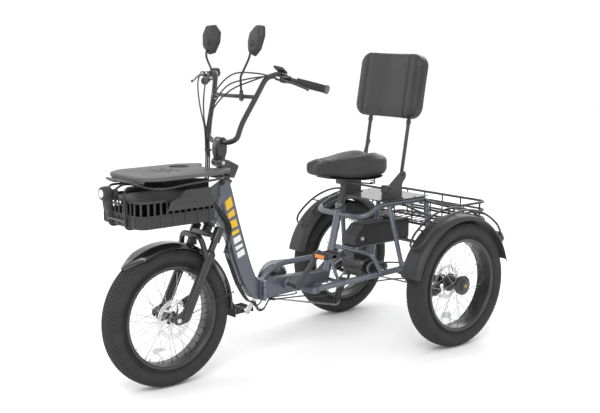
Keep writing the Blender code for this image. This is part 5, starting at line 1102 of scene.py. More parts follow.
def toothedDisc(centre, x, teeth, rootRadius, toothHeight, half, holeRadius=0.0):
    # the rim's radius is the root radius plus a rounded wave, one wave for each tooth
    angle = np.linspace(0, 2 * np.pi, teeth * 8, endpoint=False)
    wave = np.clip(0.5 + 0.9 * np.cos(angle * teeth), 0, 1)
    radius = rootRadius + toothHeight * wave
    ring = np.stack([0 * angle, radius * np.cos(angle), radius * np.sin(angle)], -1) + np.asarray(centre,
        float)
    hole = np.stack([0 * angle, holeRadius * np.cos(angle), holeRadius * np.sin(angle)],
        -1) + np.asarray(centre, float)
    near, far = acrossBody * (x - half), acrossBody * (x + half)
    if holeRadius:
        return lofted([ring + near, ring + far, hole + far, hole + near, ring + near])
    return lofted([ring + near, ring + far])


driveX, chainX = 0.105, -0.068
makePiece("axleCarrier", joined(carrierCase, toothedDisc((0, 0, wheelHeight), driveX, 24, 0.0440, 0.0050,
    0.0014, 0.022)),
          "axle_carrier", "darkSteel", ["axle_carrier"])
makePiece("jackshaft", joined(rod(motorPlace + acrossBody * -0.0775, motorPlace + acrossBody * 0.1135, 0.0060,
    24),
                              toothedDisc(motorPlace, driveX, 14, 0.0242, 0.0042, 0.0014),
                              toothedDisc(motorPlace, chainX, 16, 0.0282, 0.0042, 0.0014)), "jackshaft",
                              "darkSteel", ["jackshaft"])


def beltRoute(x, circles, steps=22):
    # straight runs tangent to circles joined by arcs round them; each circle is y, z, radius and
    # the side it is passed on

    ends, route, count = [], [], len(circles)
    for i in range(count):
        y0, z0, r0, s0 = circles[i]
        y1, z1, r1, s1 = circles[(i + 1) % count]
        gap = math.hypot(y1 - y0, z1 - z0)
        angle = math.atan2(z1 - z0, y1 - y0) + math.acos((r0 * s0 - r1 * s1) / gap)
        ends.append((angle if s0 > 0 else angle + math.pi, angle if s1 > 0 else angle + math.pi))
    for i in range(count):
        y0, z0, r0, s0 = circles[i]
        turn = (ends[i][0] - ends[i - 1][1]) % (2 * math.pi)
        turn -= 2 * math.pi if s0 > 0 and turn > 0 else 0
        angle = ends[i - 1][1] + turn * np.linspace(0, 1, steps)
        route.append(np.stack([np.full(steps, x), y0 + r0 * np.cos(angle), z0 + r0 * np.sin(angle)], -1))
    return np.concatenate(route)


def chainShape(route, pitch=0.0127):
    # rollers at equal steps along the route, joined by pairs of plates that lie wider on every other link
    closed = np.vstack([route, route[:1]])
    walked = np.concatenate([[0], np.cumsum(np.linalg.norm(np.diff(closed, axis=0), axis=1))])
    count = int(round(walked[-1] / pitch / 2)) * 2
    at = np.arange(count) * walked[-1] / count
    points = np.stack([np.interp(at, walked, closed[:, k]) for k in range(3)], -1)
    links = []
    for k in range(count):
        a, b = points[k], points[(k + 1) % count]
        along = unit(b - a)
        up = np.cross(along, acrossBody)
        links.append(drum([(0.0016, -0.0034), (0.0034, -0.0022), (0.0034, 0.0022), (0.0016, 0.0034)], a,
            segments=8))
        wide = 0.0030 if k % 2 else 0.0022
        for x in (-wide, wide):
            links.append(slantedBox((a + b) / 2 + acrossBody * x, [acrossBody, along, up],
                (0.0004, 0.0088, 0.0036), 0))
    return joined(*links)


drive = chainShape(beltRoute(chainX, [(crankPlace[1], crankPlace[2], 0.0849, 1),
    (motorPlace[1], motorPlace[2], 0.0323, 1),
                                      (-0.292, 0.262, 0.019, -1), (-0.322, 0.172, 0.019, 1)]))
makePiece("driveChain", drive, "rear_frame", "steel", ["drive_chain"])
output = chainShape(beltRoute(driveX, [(motorPlace[1], motorPlace[2], 0.0283, 1),
    (0.0, wheelHeight, 0.0485, 1)]))
makePiece("outputChain", output, "rear_frame", "steel", ["output_chain"])

cage = [slab(bentRoute([(-0.272, 0.262, 0), (-0.258, 0.256, 0), (-0.226, 0.318, 0), (-0.226, 0.395, 0),
    (-0.240, 0.395, 0),
                        (-0.240, 0.330, 0)], 0.008, 4, closed=True)[:, :2], -0.058, -0.054, "x", 0.0008),
        boxOf((-0.0560, -0.239, 0.374), (-0.0455, -0.227, 0.386)),
        rod((-0.0545, -0.262, 0.268), (-0.080, -0.262, 0.268), 0.0065, 20)]
for low in (-0.0743, -0.0637):
    cage.append(slab(bentRoute([(-0.252, 0.272, 0), (-0.300, 0.284, 0), (-0.332, 0.163, 0),
        (-0.312, 0.160, 0)], 0.008, 5,
                               closed=True)[:, :2], low, low + 0.0018, "x", 0.0004))
for y, z in ((-0.292, 0.262), (-0.322, 0.172)):
    cage += [toothedDisc((0, y, z), chainX, 11, 0.0128, 0.0036, 0.0016),
        rod((-0.0765, y, z), (-0.0595, y, z), 0.003, 12)]
makePiece("derailleur", joined(*cage), "rear_frame", "blackPaint", ["derailleur"])

print("cargo basket and rear fenders")
cargo = {"x": 0.285, "front": 0.112, "back": 0.3284, "floor": 0.505, "top": 0.622, "wire": 0.0062,
    "thin": 0.0036}


def cargoRing(z, wire, grow=0.0):
    x, a, b = cargo["x"] + grow, cargo["front"] - grow, cargo["back"] + grow
    return tube(bentRoute([(x, a, z), (x, b, z), (-x, b, z), (-x, a, z)], 0.045, 9, closed=True), wire, 14,
        closed=True)


wires = [cargoRing(cargo["top"], cargo["wire"]), cargoRing(cargo["floor"], cargo["wire"]),
    cargoRing(0.583, 0.0054),
         cargoRing(0.544, 0.0054)]
for x in np.linspace(-0.240, 0.240, 5):
    hoop = [(x, cargo["front"], cargo["top"]), (x, cargo["front"], cargo["floor"] + 0.001),
        (x, cargo["back"], cargo["floor"] + 0.001),
            (x, cargo["back"], cargo["top"])]
    wires.append(tube(bentRoute(hoop, 0.012, 5), cargo["thin"], 10))
for y in (cargo["front"] + 0.050, cargo["back"] - 0.050):
    wires.append(tube(bentRoute([(-cargo["x"], y, cargo["top"]), (-cargo["x"], y, cargo["floor"]),
        (cargo["x"], y, cargo["floor"]),
                                 (cargo["x"], y, cargo["top"])], 0.012, 5), cargo["thin"], 10))
for side in (1, -1):
    low, high = sorted((side * 0.105 - 0.011, side * 0.105 + 0.011))
    wires += [boxOf((low, 0.0588, 0.616), (high, cargo["front"], 0.622), 0.001),
        boxOf((low, 0.0588, 0.616), (high, 0.0625, 0.655), 0.001)]
for x in np.linspace(-0.200, 0.200, 11):
    wires.append(rod((x, cargo["front"], cargo["floor"] + 0.001), (x, cargo["back"], cargo["floor"] + 0.001),
        0.0024, 10))
makePiece("cargoBasket", joined(*wires), "rear_frame", "blackPaint", ["cargo_basket"])

for side in (1, -1):
    word = "left" if side > 0 else "right"
    centre = (side * rearTrack, 0, wheelHeight)
    makePiece(word + "Fender", fenderShape(centre, 0.0575, 0.3188, 0.3218, math.radians(14),
        math.radians(167), 72),
              "rear_frame", "blackPlastic", ["fender_" + word])

    def onArc(angle, x, radius=0.345):
        turn = math.radians(angle)
        return (side * x, radius * math.cos(turn), wheelHeight + radius * math.sin(turn))

    inner = [onArc(a, 0.350) for a in range(44, 139, 5)]
    outer = [onArc(a, 0.428) for a in range(136, 41, -5)]
    route = inner + [onArc(142, 0.360, 0.343), onArc(144, 0.389, 0.342), onArc(141, 0.418, 0.343)] + outer \
        + [onArc(37, 0.416), onArc(35, 0.389), onArc(38, 0.360)]
    railing = [tube(smoothRoute(route, 130, closed=True), 0.0052, 12, closed=True)]
    railing += [rod(onArc(a, 0.350), onArc(a, 0.428), 0.0038, 10) for a in (64, 90, 118)]
    for a in (52, 90, 128):
        railing += [rod(onArc(a, 0.370), onArc(a, 0.370, 0.3222), 0.0046, 12),
            rod(onArc(a, 0.350), onArc(a, 0.372), 0.0038, 10)]
    for y in (-0.125, 0.020):
        rise = math.sqrt(0.345 ** 2 - y ** 2)
        railing.append(tube(smoothRoute([(side * 0.169, y, 0.646),
            (side * 0.240, y, 0.644 + (rise - 0.356) * 0.45),
                                         (side * 0.352, y, wheelHeight + rise)], 14), 0.0052, 12))
    makePiece(word + "FenderRail", joined(*railing), "rear_frame", "blackPaint", ["fender_rail_" + word])
    angle = math.radians(32)
    outward, along = np.array([0, math.cos(angle), math.sin(angle)]), np.array([0, math.sin(angle),
        -math.cos(angle)])
    foot = np.array(centre) + outward * 0.3195
    lampRings = []
    for depth, wide, tall in ((0.0, 0.029, 0.027), (0.012, 0.029, 0.027), (0.028, 0.0280, 0.0255),
        (0.0335, 0.0265, 0.0240)):
        ring = squircle(40, 0.42)
        lampRings.append(foot + outward * depth + ring[:, :1] * acrossBody * wide
            + ring[:, 1:] * along * tall)
    makePiece(word + "TailLamp", lofted(lampRings), "rear_frame", "blackPlastic", sharp=40)
    lensRings = [foot + outward * depth + squircle(40, 0.42)[:, :1] * acrossBody * wide
        + squircle(40, 0.42)[:, 1:] * along * tall
                 for depth, wide, tall in ((0.0330, 0.0255, 0.0230), (0.0370, 0.0252, 0.0226),
                     (0.0392, 0.0225, 0.0200))]
    makePiece(word + "TailLens", lofted(lensRings), "rear_frame", "redLens", sharp=40)

print("backrest brackets and levers")
reclineAt = np.array([0, -0.094, 0.774])
plateOutline = bentRoute([(-0.232, 0.6672, 0), (-0.232, 0.700, 0), (-0.175, 0.742, 0), (-0.112, 0.790, 0),
    (-0.078, 0.790, 0),
                          (-0.074, 0.760, 0), (-0.100, 0.735, 0), (-0.100, 0.6672, 0)], 0.012, 5,
                          closed=True)[:, :2]
bracket = [slab(plateOutline, 0.1350, 0.1388, "x", 0.0008), slab(roundedOutline((0.123, -0.232),
    (0.151, -0.100), 0.004), 0.6672, 0.6710, "z", 0.0008),
           slab(roundedOutline((-0.222, 0.700), (-0.178, 0.735), 0.006), 0.121, 0.157, "x", 0.002)]
makePiece("backrestBrackets", joined(onBothSides(joined(*bracket)),
    rod((-0.125, -0.200, 0.718), (0.125, -0.200, 0.718), 0.005, 20)),
          "rear_frame", "blackPaint", ["backrest_brackets"])
socketFace = joined(turned([(0.0075, 0.1568), (0.0125, 0.1568), (0.0120, 0.1592), (0.0080, 0.1590)],
    (0, -0.200, 0.7175), segments=28),
                    *[drum([(0.0008, 0.6709), (0.0052, 0.6711), (0.0048, 0.6730), (0.0008, 0.6740)],
                        (0.1290, y, 0), (0, 0, 1), 14)
                      for y in (-0.215, -0.118)])
makePiece("bracketScrews", onBothSides(socketFace), "rear_frame", "darkSteel")
leverArm = slab(bentRoute([(-0.102, 0.776, 0), (-0.058, 0.905, 0), (-0.034, 0.902, 0), (-0.086, 0.772, 0)],
    0.010, 6, closed=True)[:, :2],
                -0.1490, -0.1450, "x", 0.0010)
makePiece("reclineLever", joined(leverArm, drum([(0.0100, -0.1494), (0.0110, -0.1485), (0.0110, -0.1455),
    (0.0100, -0.1446)], reclineAt, segments=28),
                                 turned([(0.0060, -0.1492), (0.0128, -0.1492), (0.0128, -0.1448),
                                     (0.0060, -0.1448)],
                                        (0, -0.046, 0.903), segments=36)), "recline_lever", "blackPaint",
                                        ["recline_lever"])

print("seat")
makePiece("seatPost", joined(rod(seatLine(0.475), seatLine(0.745), 0.0134, 32),
                             slab(roundedOutline((-0.022, -0.372), (0.022, -0.298), 0.006), 0.7425, 0.7635,
                                 "z", 0.002)),
          "seat", "darkSteel", ["seat_post"])
springs = []
for side in (1, -1):
    spin = np.linspace(0, 2 * np.pi * 4, 90)
    coil = np.stack([side * 0.062 + 0.011 * np.cos(spin), -0.215 + 0.011 * np.sin(spin),
        np.linspace(0.735, 0.772, 90)], -1)
    springs += [tube(coil, 0.0022, 8), tube(smoothRoute([(side * 0.016, -0.350, 0.752),
        (side * 0.038, -0.290, 0.745),
                                                        (side * 0.062, -0.215, 0.735)], 12), 0.0035, 10)]
makePiece("saddleSprings", joined(*springs), "seat", "darkSteel")

padding = {"voxel": 0.0055, "pressure": 4.0, "frames": 20}


def simulated(shape, cap):
    # cloth filled with air: each point moves at most the cap away from where the plain form had it
    mesh = bpy.data.meshes.new("form")
    mesh.from_pydata(shape[0].tolist(), [], shape[1])
    bm = bmesh.new()
    bm.from_mesh(mesh)
    bmesh.ops.remove_doubles(bm, verts=bm.verts, dist=1e-6)
    bmesh.ops.recalc_face_normals(bm, faces=bm.faces)
    bm.to_mesh(mesh)
    bm.free()
    form = bpy.data.objects.new("form", mesh)
    bpy.context.scene.collection.objects.link(form)
    cells = form.modifiers.new("cells", "REMESH")
    cells.mode, cells.voxel_size = "VOXEL", padding["voxel"]
    bpy.context.view_layer.update()
    even = bpy.data.meshes.new_from_object(form.evaluated_get(bpy.context.evaluated_depsgraph_get()))
    form.modifiers.clear()
    form.data = even
    start = np.zeros(len(even.vertices) * 3)
    even.vertices.foreach_get("co", start)
    start = start.reshape(-1, 3)
    end = start
    cloth = form.modifiers.new("cloth", "CLOTH")
    cloth.settings.quality = 5
    cloth.settings.mass = 0.35
    cloth.settings.tension_stiffness = cloth.settings.compression_stiffness = 18
    cloth.settings.use_pressure = True
    cloth.settings.uniform_pressure_force = padding["pressure"]
    cloth.settings.effector_weights.gravity = 0
    for step in range(1, padding["frames"] + 1):
        bpy.context.scene.frame_set(step)
    puffed = form.evaluated_get(bpy.context.evaluated_depsgraph_get()).to_mesh()
    end = np.zeros(len(puffed.vertices) * 3)
    puffed.vertices.foreach_get("co", end)
    end = end.reshape(-1, 3)
    form.modifiers.clear()
    bpy.context.scene.frame_set(1)
    move = end - start
    size = np.linalg.norm(move, axis=1, keepdims=True)
    verts = start + move * np.minimum(1, cap / np.maximum(size, 1e-9))
    faces = [list(polygon.vertices) for polygon in even.polygons]
    bpy.data.objects.remove(form)
    return verts, faces


saddleForm = {"stations": [(-0.532, 0.040, 0.806, 0.852), (-0.524, 0.049, 0.799, 0.860),
    (-0.480, 0.058, 0.788, 0.866),
                           (-0.430, 0.070, 0.780, 0.867), (-0.390, 0.086, 0.773, 0.868),
                           (-0.350, 0.108, 0.769, 0.869),
                           (-0.305, 0.127, 0.768, 0.871), (-0.260, 0.135, 0.769, 0.873),
                           (-0.210, 0.132, 0.772, 0.875),
                           (-0.175, 0.118, 0.780, 0.874), (-0.160, 0.098, 0.792, 0.868)],
              "groove": 0.015, "lobes": 0.003}
stations = np.array(saddleForm["stations"])
fineStations = smoothRoute(np.hstack([stations, stations[:, :1] * 0])[:, :3],
    60), smoothRoute(stations[:, 1:4], 60)
ringShape = squircle(64, 0.52)
rings = []
for (y, half, low), (_, low2, high) in zip(fineStations[0], fineStations[1]):
    z = (low2 + high) / 2 + (high - low2) / 2 * ringShape[:, 1] * 0.97
    x = half * ringShape[:, 0] * 0.97
    top = np.clip(ringShape[:, 1], 0, 1)
    z = z - saddleForm["groove"] * np.exp(-(x / 0.030) ** 2) * top + saddleForm["lobes"] * np.exp(-((np.abs(x)
        - 0.065) / 0.035) ** 2) * top \
        * np.exp(-((y + 0.225) / 0.055) ** 2)
    rings.append(np.stack([x, np.full_like(x, y), z], -1))
saddleVerts, saddleFaces = simulated(lofted(rings), 0.003)
lift = np.clip((saddleVerts[:, 2] - 0.800) / 0.03, 0, 1)
saddleVerts[:, 2] -= lift * 0.0042 * np.exp(-(saddleVerts[:, 0] / 0.0065) ** 2)     # sewn middle channel
seamAt = np.abs(np.hypot(saddleVerts[:, 0] / 0.102, (saddleVerts[:, 1] + 0.300) / 0.165) - 1)
saddleVerts[:, 2] -= lift * 0.0022 * np.exp(-(seamAt / 0.030) ** 2)                 # seam round the two lobes
saddle = makePiece("saddle", (saddleVerts, saddleFaces), "seat", "vinyl", ["saddle"], sharp=180, smoothing=1)
pan = [np.stack([ringShape[:, 0] * half * 0.80, np.full(64, y),
    0.766 + 0.004 * ringShape[:, 1] + (low - 0.768) * 0.9], -1)
       for (y, half, low) in fineStations[0][14:52]]
makePiece("saddlePan", lofted(pan), "seat", "blackPlastic")

print("backrest")
lean = math.radians(9.9)


def reclinePoint(up, back=0.0, x=0.0):
    # a point of the leaning backrest: along it, behind it and beside it
    up, back, x = np.broadcast_arrays(np.asarray(up, float), back, x)
    return np.stack([x + 0 * up, reclineAt[1] + up * math.sin(lean) + back * math.cos(lean),
                     reclineAt[2] + up * math.cos(lean) - back * math.sin(lean)], -1)


pad = {"half": 0.203, "low": 0.253, "high": 0.559, "corner": 0.062, "front": -0.055, "rear": 0.0195,
    "crease": 0.135}


def padRing(amount, back):
    outline = inset(roundedOutline((-pad["half"], pad["low"]), (pad["half"], pad["high"]), pad["corner"], 12),
        amount) if amount \
        else roundedOutline((-pad["half"], pad["low"]), (pad["half"], pad["high"]), pad["corner"], 12)
    return reclinePoint(outline[:, 1], back, outline[:, 0])


padLoft = lofted([padRing(a, b) for a, b in ((0.034, -0.0505), (0.014, -0.0490), (0.005, -0.0430),
    (0.0022, -0.034), (0.0022, -0.010),
                                             (0.003, 0.004), (0.008, 0.0135), (0.020, 0.0180))])
padVerts, padFaces = simulated(padLoft, 0.0035)
local = padVerts - reclineAt
behind = local[:, 1] * math.cos(lean) - local[:, 2] * math.sin(lean)
frontSide = np.clip((-behind - 0.020) / 0.02, 0, 1)
dish = 0.009 * np.exp(-(padVerts[:, 0] / 0.085) ** 2) + 0.0045 * np.exp(-((np.abs(padVerts[:, 0])
    - pad["crease"]) / 0.008) ** 2)
inward = np.array([0, math.cos(lean), -math.sin(lean)])
padVerts = padVerts + (frontSide * dish)[:, None] * inward
backrest = makePiece("backrestPad", (padVerts, padFaces), "backrest", "vinyl", ["backrest_pad"], sharp=180,
    smoothing=1)
posts = []
for side in (1, -1):
    x = side * 0.1255
    posts += [rod(reclinePoint(-0.016, 0, x), reclinePoint(0.27, 0, x), 0.0085, 24),
              rod((x, *reclineAt[1:]), (side * 0.1440, *reclineAt[1:]), 0.0050, 16),
              drum([(0.0085, 0.232), (0.0110, 0.234), (0.0110, 0.252)], (x, *reclineAt[1:]),
                  (0, math.sin(lean), math.cos(lean)), 24)]
makePiece("backrestPosts", joined(*posts), "backrest", "blackPaint", ["backrest_posts"])

print("cranks and pedals")


def crankEnd(side, x=0.117):
    angle = math.radians(51.5)
    return crankPlace + np.array([x * side, side * 0.175 * math.cos(angle), side * 0.175 * math.sin(angle)])


def crankArm(side):
    # an arm that narrows from the spindle to the pedal eye, its section a rounded square
    start, end = crankPlace + acrossBody * side * 0.103, crankEnd(side)
    along, axis = unit(end - start), acrossBody
    up = np.cross(along, axis)
    rings = []
    for t, wide, thick in ((0.0, 0.0150, 0.0080), (0.12, 0.0145, 0.0085), (0.5, 0.0112, 0.0072),
        (0.88, 0.0112, 0.0068), (1.0, 0.0118, 0.0066)):
        ring = squircle(24, 0.55)
        rings.append(start + (end - start) * t + ring[:, :1] * up * wide + ring[:, 1:] * axis * thick)
    hub = drum([(0.0160, side * 0.088), (0.0170, side * 0.0895), (0.0170, side * 0.112),
        (0.0150, side * 0.1138), (0.0060, side * 0.1138)],
               crankPlace, segments=36)
    eye = turned([(0.0066, -0.0078), (0.0134, -0.0078), (0.0134, 0.0078), (0.0066, 0.0078)], end, segments=36)
    return joined(lofted(rings), hub, eye)


makePiece("leftCrank", joined(crankArm(1), rod(crankPlace, crankPlace + acrossBody * 0.095, 0.0082, 20)),
    "crank", "blackPaint", ["crankset"])
makePiece("rightCrank", joined(crankArm(-1), rod(crankPlace, crankPlace - acrossBody * 0.095, 0.0082, 20)),
    "crank", "silver")
ringHub = drum([(0.0200, -0.0860), (0.0255, -0.0845), (0.0260, -0.0760), (0.0260, -0.0640),
    (0.0240, -0.0605)], crankPlace, segments=36)
arms = []
for k in range(5):
    angle = 2 * math.pi * k / 5 + 0.35
    out, across = np.array([0, math.cos(angle), math.sin(angle)]), np.array([0, -math.sin(angle),
        math.cos(angle)])
    corners = [crankPlace + acrossBody * (chainX - 0.0015) + out * r + across * w for r,
        w in ((0.022, -0.010), (0.072, -0.0055),
        (0.072, 0.0055), (0.022, 0.010))]
    arms.append(extruded(corners, acrossBody * 0.0030))
makePiece("chainring", joined(ringHub, *arms, toothedDisc(crankPlace, chainX, 42, 0.0690, 0.0, 0.0016,
    0.0640)), "crank", "blackPaint",
          ["chainring"])
makePiece("chainringTeeth", toothedDisc(crankPlace, chainX, 42, 0.0805, 0.0045, 0.0011, 0.0685), "crank",
    "steel")

for side in (1, -1):
    word = "left" if side > 0 else "right"
    centre = crankEnd(side)
    nearX, farX = sorted((centre[0] + side * 0.014, centre[0] + side * 0.105))
    body = []
    for y in (-0.043, 0.043):
        body.append(boxOf((nearX, centre[1] + y - 0.0035, centre[2] - 0.0115),
            (farX, centre[1] + y + 0.0035, centre[2] + 0.0115), 0.0015))
    for x in np.linspace(nearX + 0.004, farX - 0.004, 4):
        body.append(boxOf((x - 0.0040, centre[1] - 0.043, centre[2] - 0.0095),
            (x + 0.0040, centre[1] + 0.043, centre[2] + 0.0095), 0.0012))
    body.append(boxOf((nearX, centre[1] - 0.010, centre[2] - 0.0090),
        (farX, centre[1] + 0.010, centre[2] + 0.0090), 0.003))
    studs = [drum([(0.0018, -0.0118), (0.0018, 0.0118)], (x, centre[1] + y, centre[2]), (0, 0, 1), 8)
             for x in np.linspace(nearX + 0.010, farX - 0.010, 6) for y in (-0.032, 0.032)]
    makePiece(word + "Pedal", joined(*body, *studs), word + "_pedal", "blackPlastic", ["pedal_" + word])
    makePiece(word + "PedalPin", rod(centre - acrossBody * side * 0.006, centre + acrossBody * side * 0.030,
        0.0054, 16), word + "_pedal",
              "steel")
    glow = [slab(roundedOutline((nearX + 0.016, centre[2] - 0.0080), (farX - 0.016, centre[2] + 0.0080),
        0.002),
                 *sorted((centre[1] + y * 0.0455, centre[1] + y * 0.0478)), "y", 0.0006) for y in (-1, 1)]
    makePiece(word + "PedalReflector", joined(*glow), word + "_pedal", "amber")

print("stem and handlebar")
stemPivot = steerPoint(0.268, 0.065)
clampAt = np.array([0, -1.033, 0.984])
stemCase = []
for up, back, front, wide in ((0.2325, -0.0230, 0.0330, 0.0200), (0.2345, -0.0265, 0.0400, 0.0240),
    (0.262, -0.0270, 0.0420, 0.0245),
                              (0.288, -0.0262, 0.0405, 0.0240), (0.2918, -0.0220, 0.0350, 0.0200)):
    ring = squircle(40, 0.40)
    middle, half = (back + front) / 2, (front - back) / 2
    stemCase.append(steerPoint(up, middle) + ring[:, :1] * acrossBody * wide
        + ring[:, 1:] * steerAhead * half)
earsAt = [drum([(0.0170, x), (0.0185, x + 0.0012), (0.0185, x + 0.0113), (0.0170, x + 0.0125)], stemPivot,
    segments=40)
          for x in (-0.0300, 0.0175)]
earsAt += [extruded([steerPoint(p, q, x) for p, q in ((0.245, 0.030), (0.284, 0.030), (0.286, 0.064),
    (0.252, 0.066))], acrossBody * 0.0117)
           for x in (-0.0296, 0.0179)]
pivotPin = drum([(0.0080, -0.0330), (0.0086, -0.0320), (0.0086, -0.0300), (0.0047, -0.0299), (0.0047, 0.0299),
    (0.0086, 0.0300),
                 (0.0086, 0.0320), (0.0080, 0.0330)], stemPivot, segments=24)
makePiece("stemBlock", joined(lofted(stemCase), *earsAt), "steering", "blackPaint", ["stem_block"])
makePiece("stemPin", pivotPin, "steering", "steel")
column = betweenEdges([(-1.055, 0.898), (-1.060, 0.925), (-1.063, 0.955), (-1.058, 0.980), (-1.048, 0.998)],
                      [(-1.018, 0.898), (-1.014, 0.925), (-1.009, 0.952), (-1.010, 0.975), (-1.018, 0.996)],
                      np.interp(np.linspace(0, 1, 30), [0, 0.22, 0.34, 1], [0.0160, 0.0160, 0.0220, 0.0215]),
                      30, 36, 0.35)
clamp = drum([(0.0170, -0.0228), (0.0186, -0.0215), (0.0186, 0.0215), (0.0170, 0.0228)], clampAt, segments=44)
makePiece("stemRiser", joined(column, clamp, drum([(0.0165, -0.0165), (0.0180, -0.0155), (0.0180, 0.0155),
    (0.0165, 0.0165)], stemPivot,
                                                  segments=40)), "stem", "blackPaint", ["stem_riser"])
clampBolts = [drum([(0.0010, 0.0), (0.0036, 0.0005), (0.0036, 0.0045), (0.0010, 0.0050)],
    (x, -1.0500, 0.984 + z), (0, -1, 0), 14)
              for x in (-0.014, 0.014) for z in (-0.010, 0.010)]
makePiece("stemBolts", joined(*clampBolts), "stem", "steel")
barTop, barEnd = np.array([0.178, -0.921, 1.262]), np.array([0.415, -0.812, 1.207])
barAlong = unit(barEnd - barTop)
barAhead = unit(np.cross(barAlong, (0, 0, 1)))
barAbove = unit(np.cross(barAlong, barAhead)) * (1 if np.cross(barAlong, barAhead)[2] > 0 else -1)
mirrorFoot = np.array([0.092, -0.990, 1.186])


def barPoint(along, side=1, forward=0.0, up=0.0):
    # a point measured outwards along the grip, ahead of it and above it
    point = barTop + barAlong * along + barAhead * forward + barAbove * up
    return point * np.array([side, 1, 1])


halfBar = [(0.062, -1.033, 0.984), (0.100, -1.020, 1.000), (0.111, -1.005, 1.061), (0.144, -0.957, 1.167),
    tuple(barTop), tuple(barEnd)]
barRoute = bentRoute([(-x, y, z) for x, y, z in halfBar[::-1]] + halfBar, 0.040, 9)
cross = smoothRoute([(-0.146, -0.955, 1.170), (-0.095, -0.988, 1.172), (0, -1.002, 1.172),
    (0.095, -0.988, 1.172), (0.146, -0.955, 1.170)], 30)
bosses = [drum([(0.0075, -0.030), (0.0098, -0.0285), (0.0098, -0.0022), (0.0080, -0.0006)],
    mirrorFoot * (side, 1, 1), (0, 0, 1), 28)
          for side in (1, -1)]
makePiece("handlebar", joined(tube(barRoute, 0.0109, 22), tube(cross, 0.0080, 18), *bosses), "stem",
    "blackPaint", ["handlebar"])
nutsUnder = [drum([(0.0050, -0.0345), (0.0066, -0.0335), (0.0066, -0.0300)], mirrorFoot * (side, 1, 1),
    (0, 0, 1), 6) for side in (1, -1)]
makePiece("mirrorNuts", joined(*nutsUnder), "stem", "steel", sharp=20)
barLength = np.linalg.norm(barEnd - barTop)
gripStart, gripLength = barPoint(0.1345), barLength + 0.0030 - 0.1345
gripProfile = [(0.0115, 0.0), (0.0163, 0.0003), (0.0165, 0.0055), (0.0152, 0.0085)]
for k in range(26):
    at = 0.010 + k * (gripLength - 0.024) / 26
    swell = 0.0152 + 0.0006 * math.sin(math.pi * k / 25)
    gripProfile += [(swell - 0.0005, at), (swell + 0.0004, at + 0.0010), (swell + 0.0004, at + 0.0030)]
gripProfile += [(0.0152, gripLength - 0.0120), (0.0174, gripLength - 0.0100), (0.0174, gripLength - 0.0062)]
capProfile = [(0.0174, gripLength - 0.0060), (0.0178, gripLength - 0.0050), (0.0178, gripLength - 0.0012),
    (0.0165, gripLength), (0.001, gripLength)]
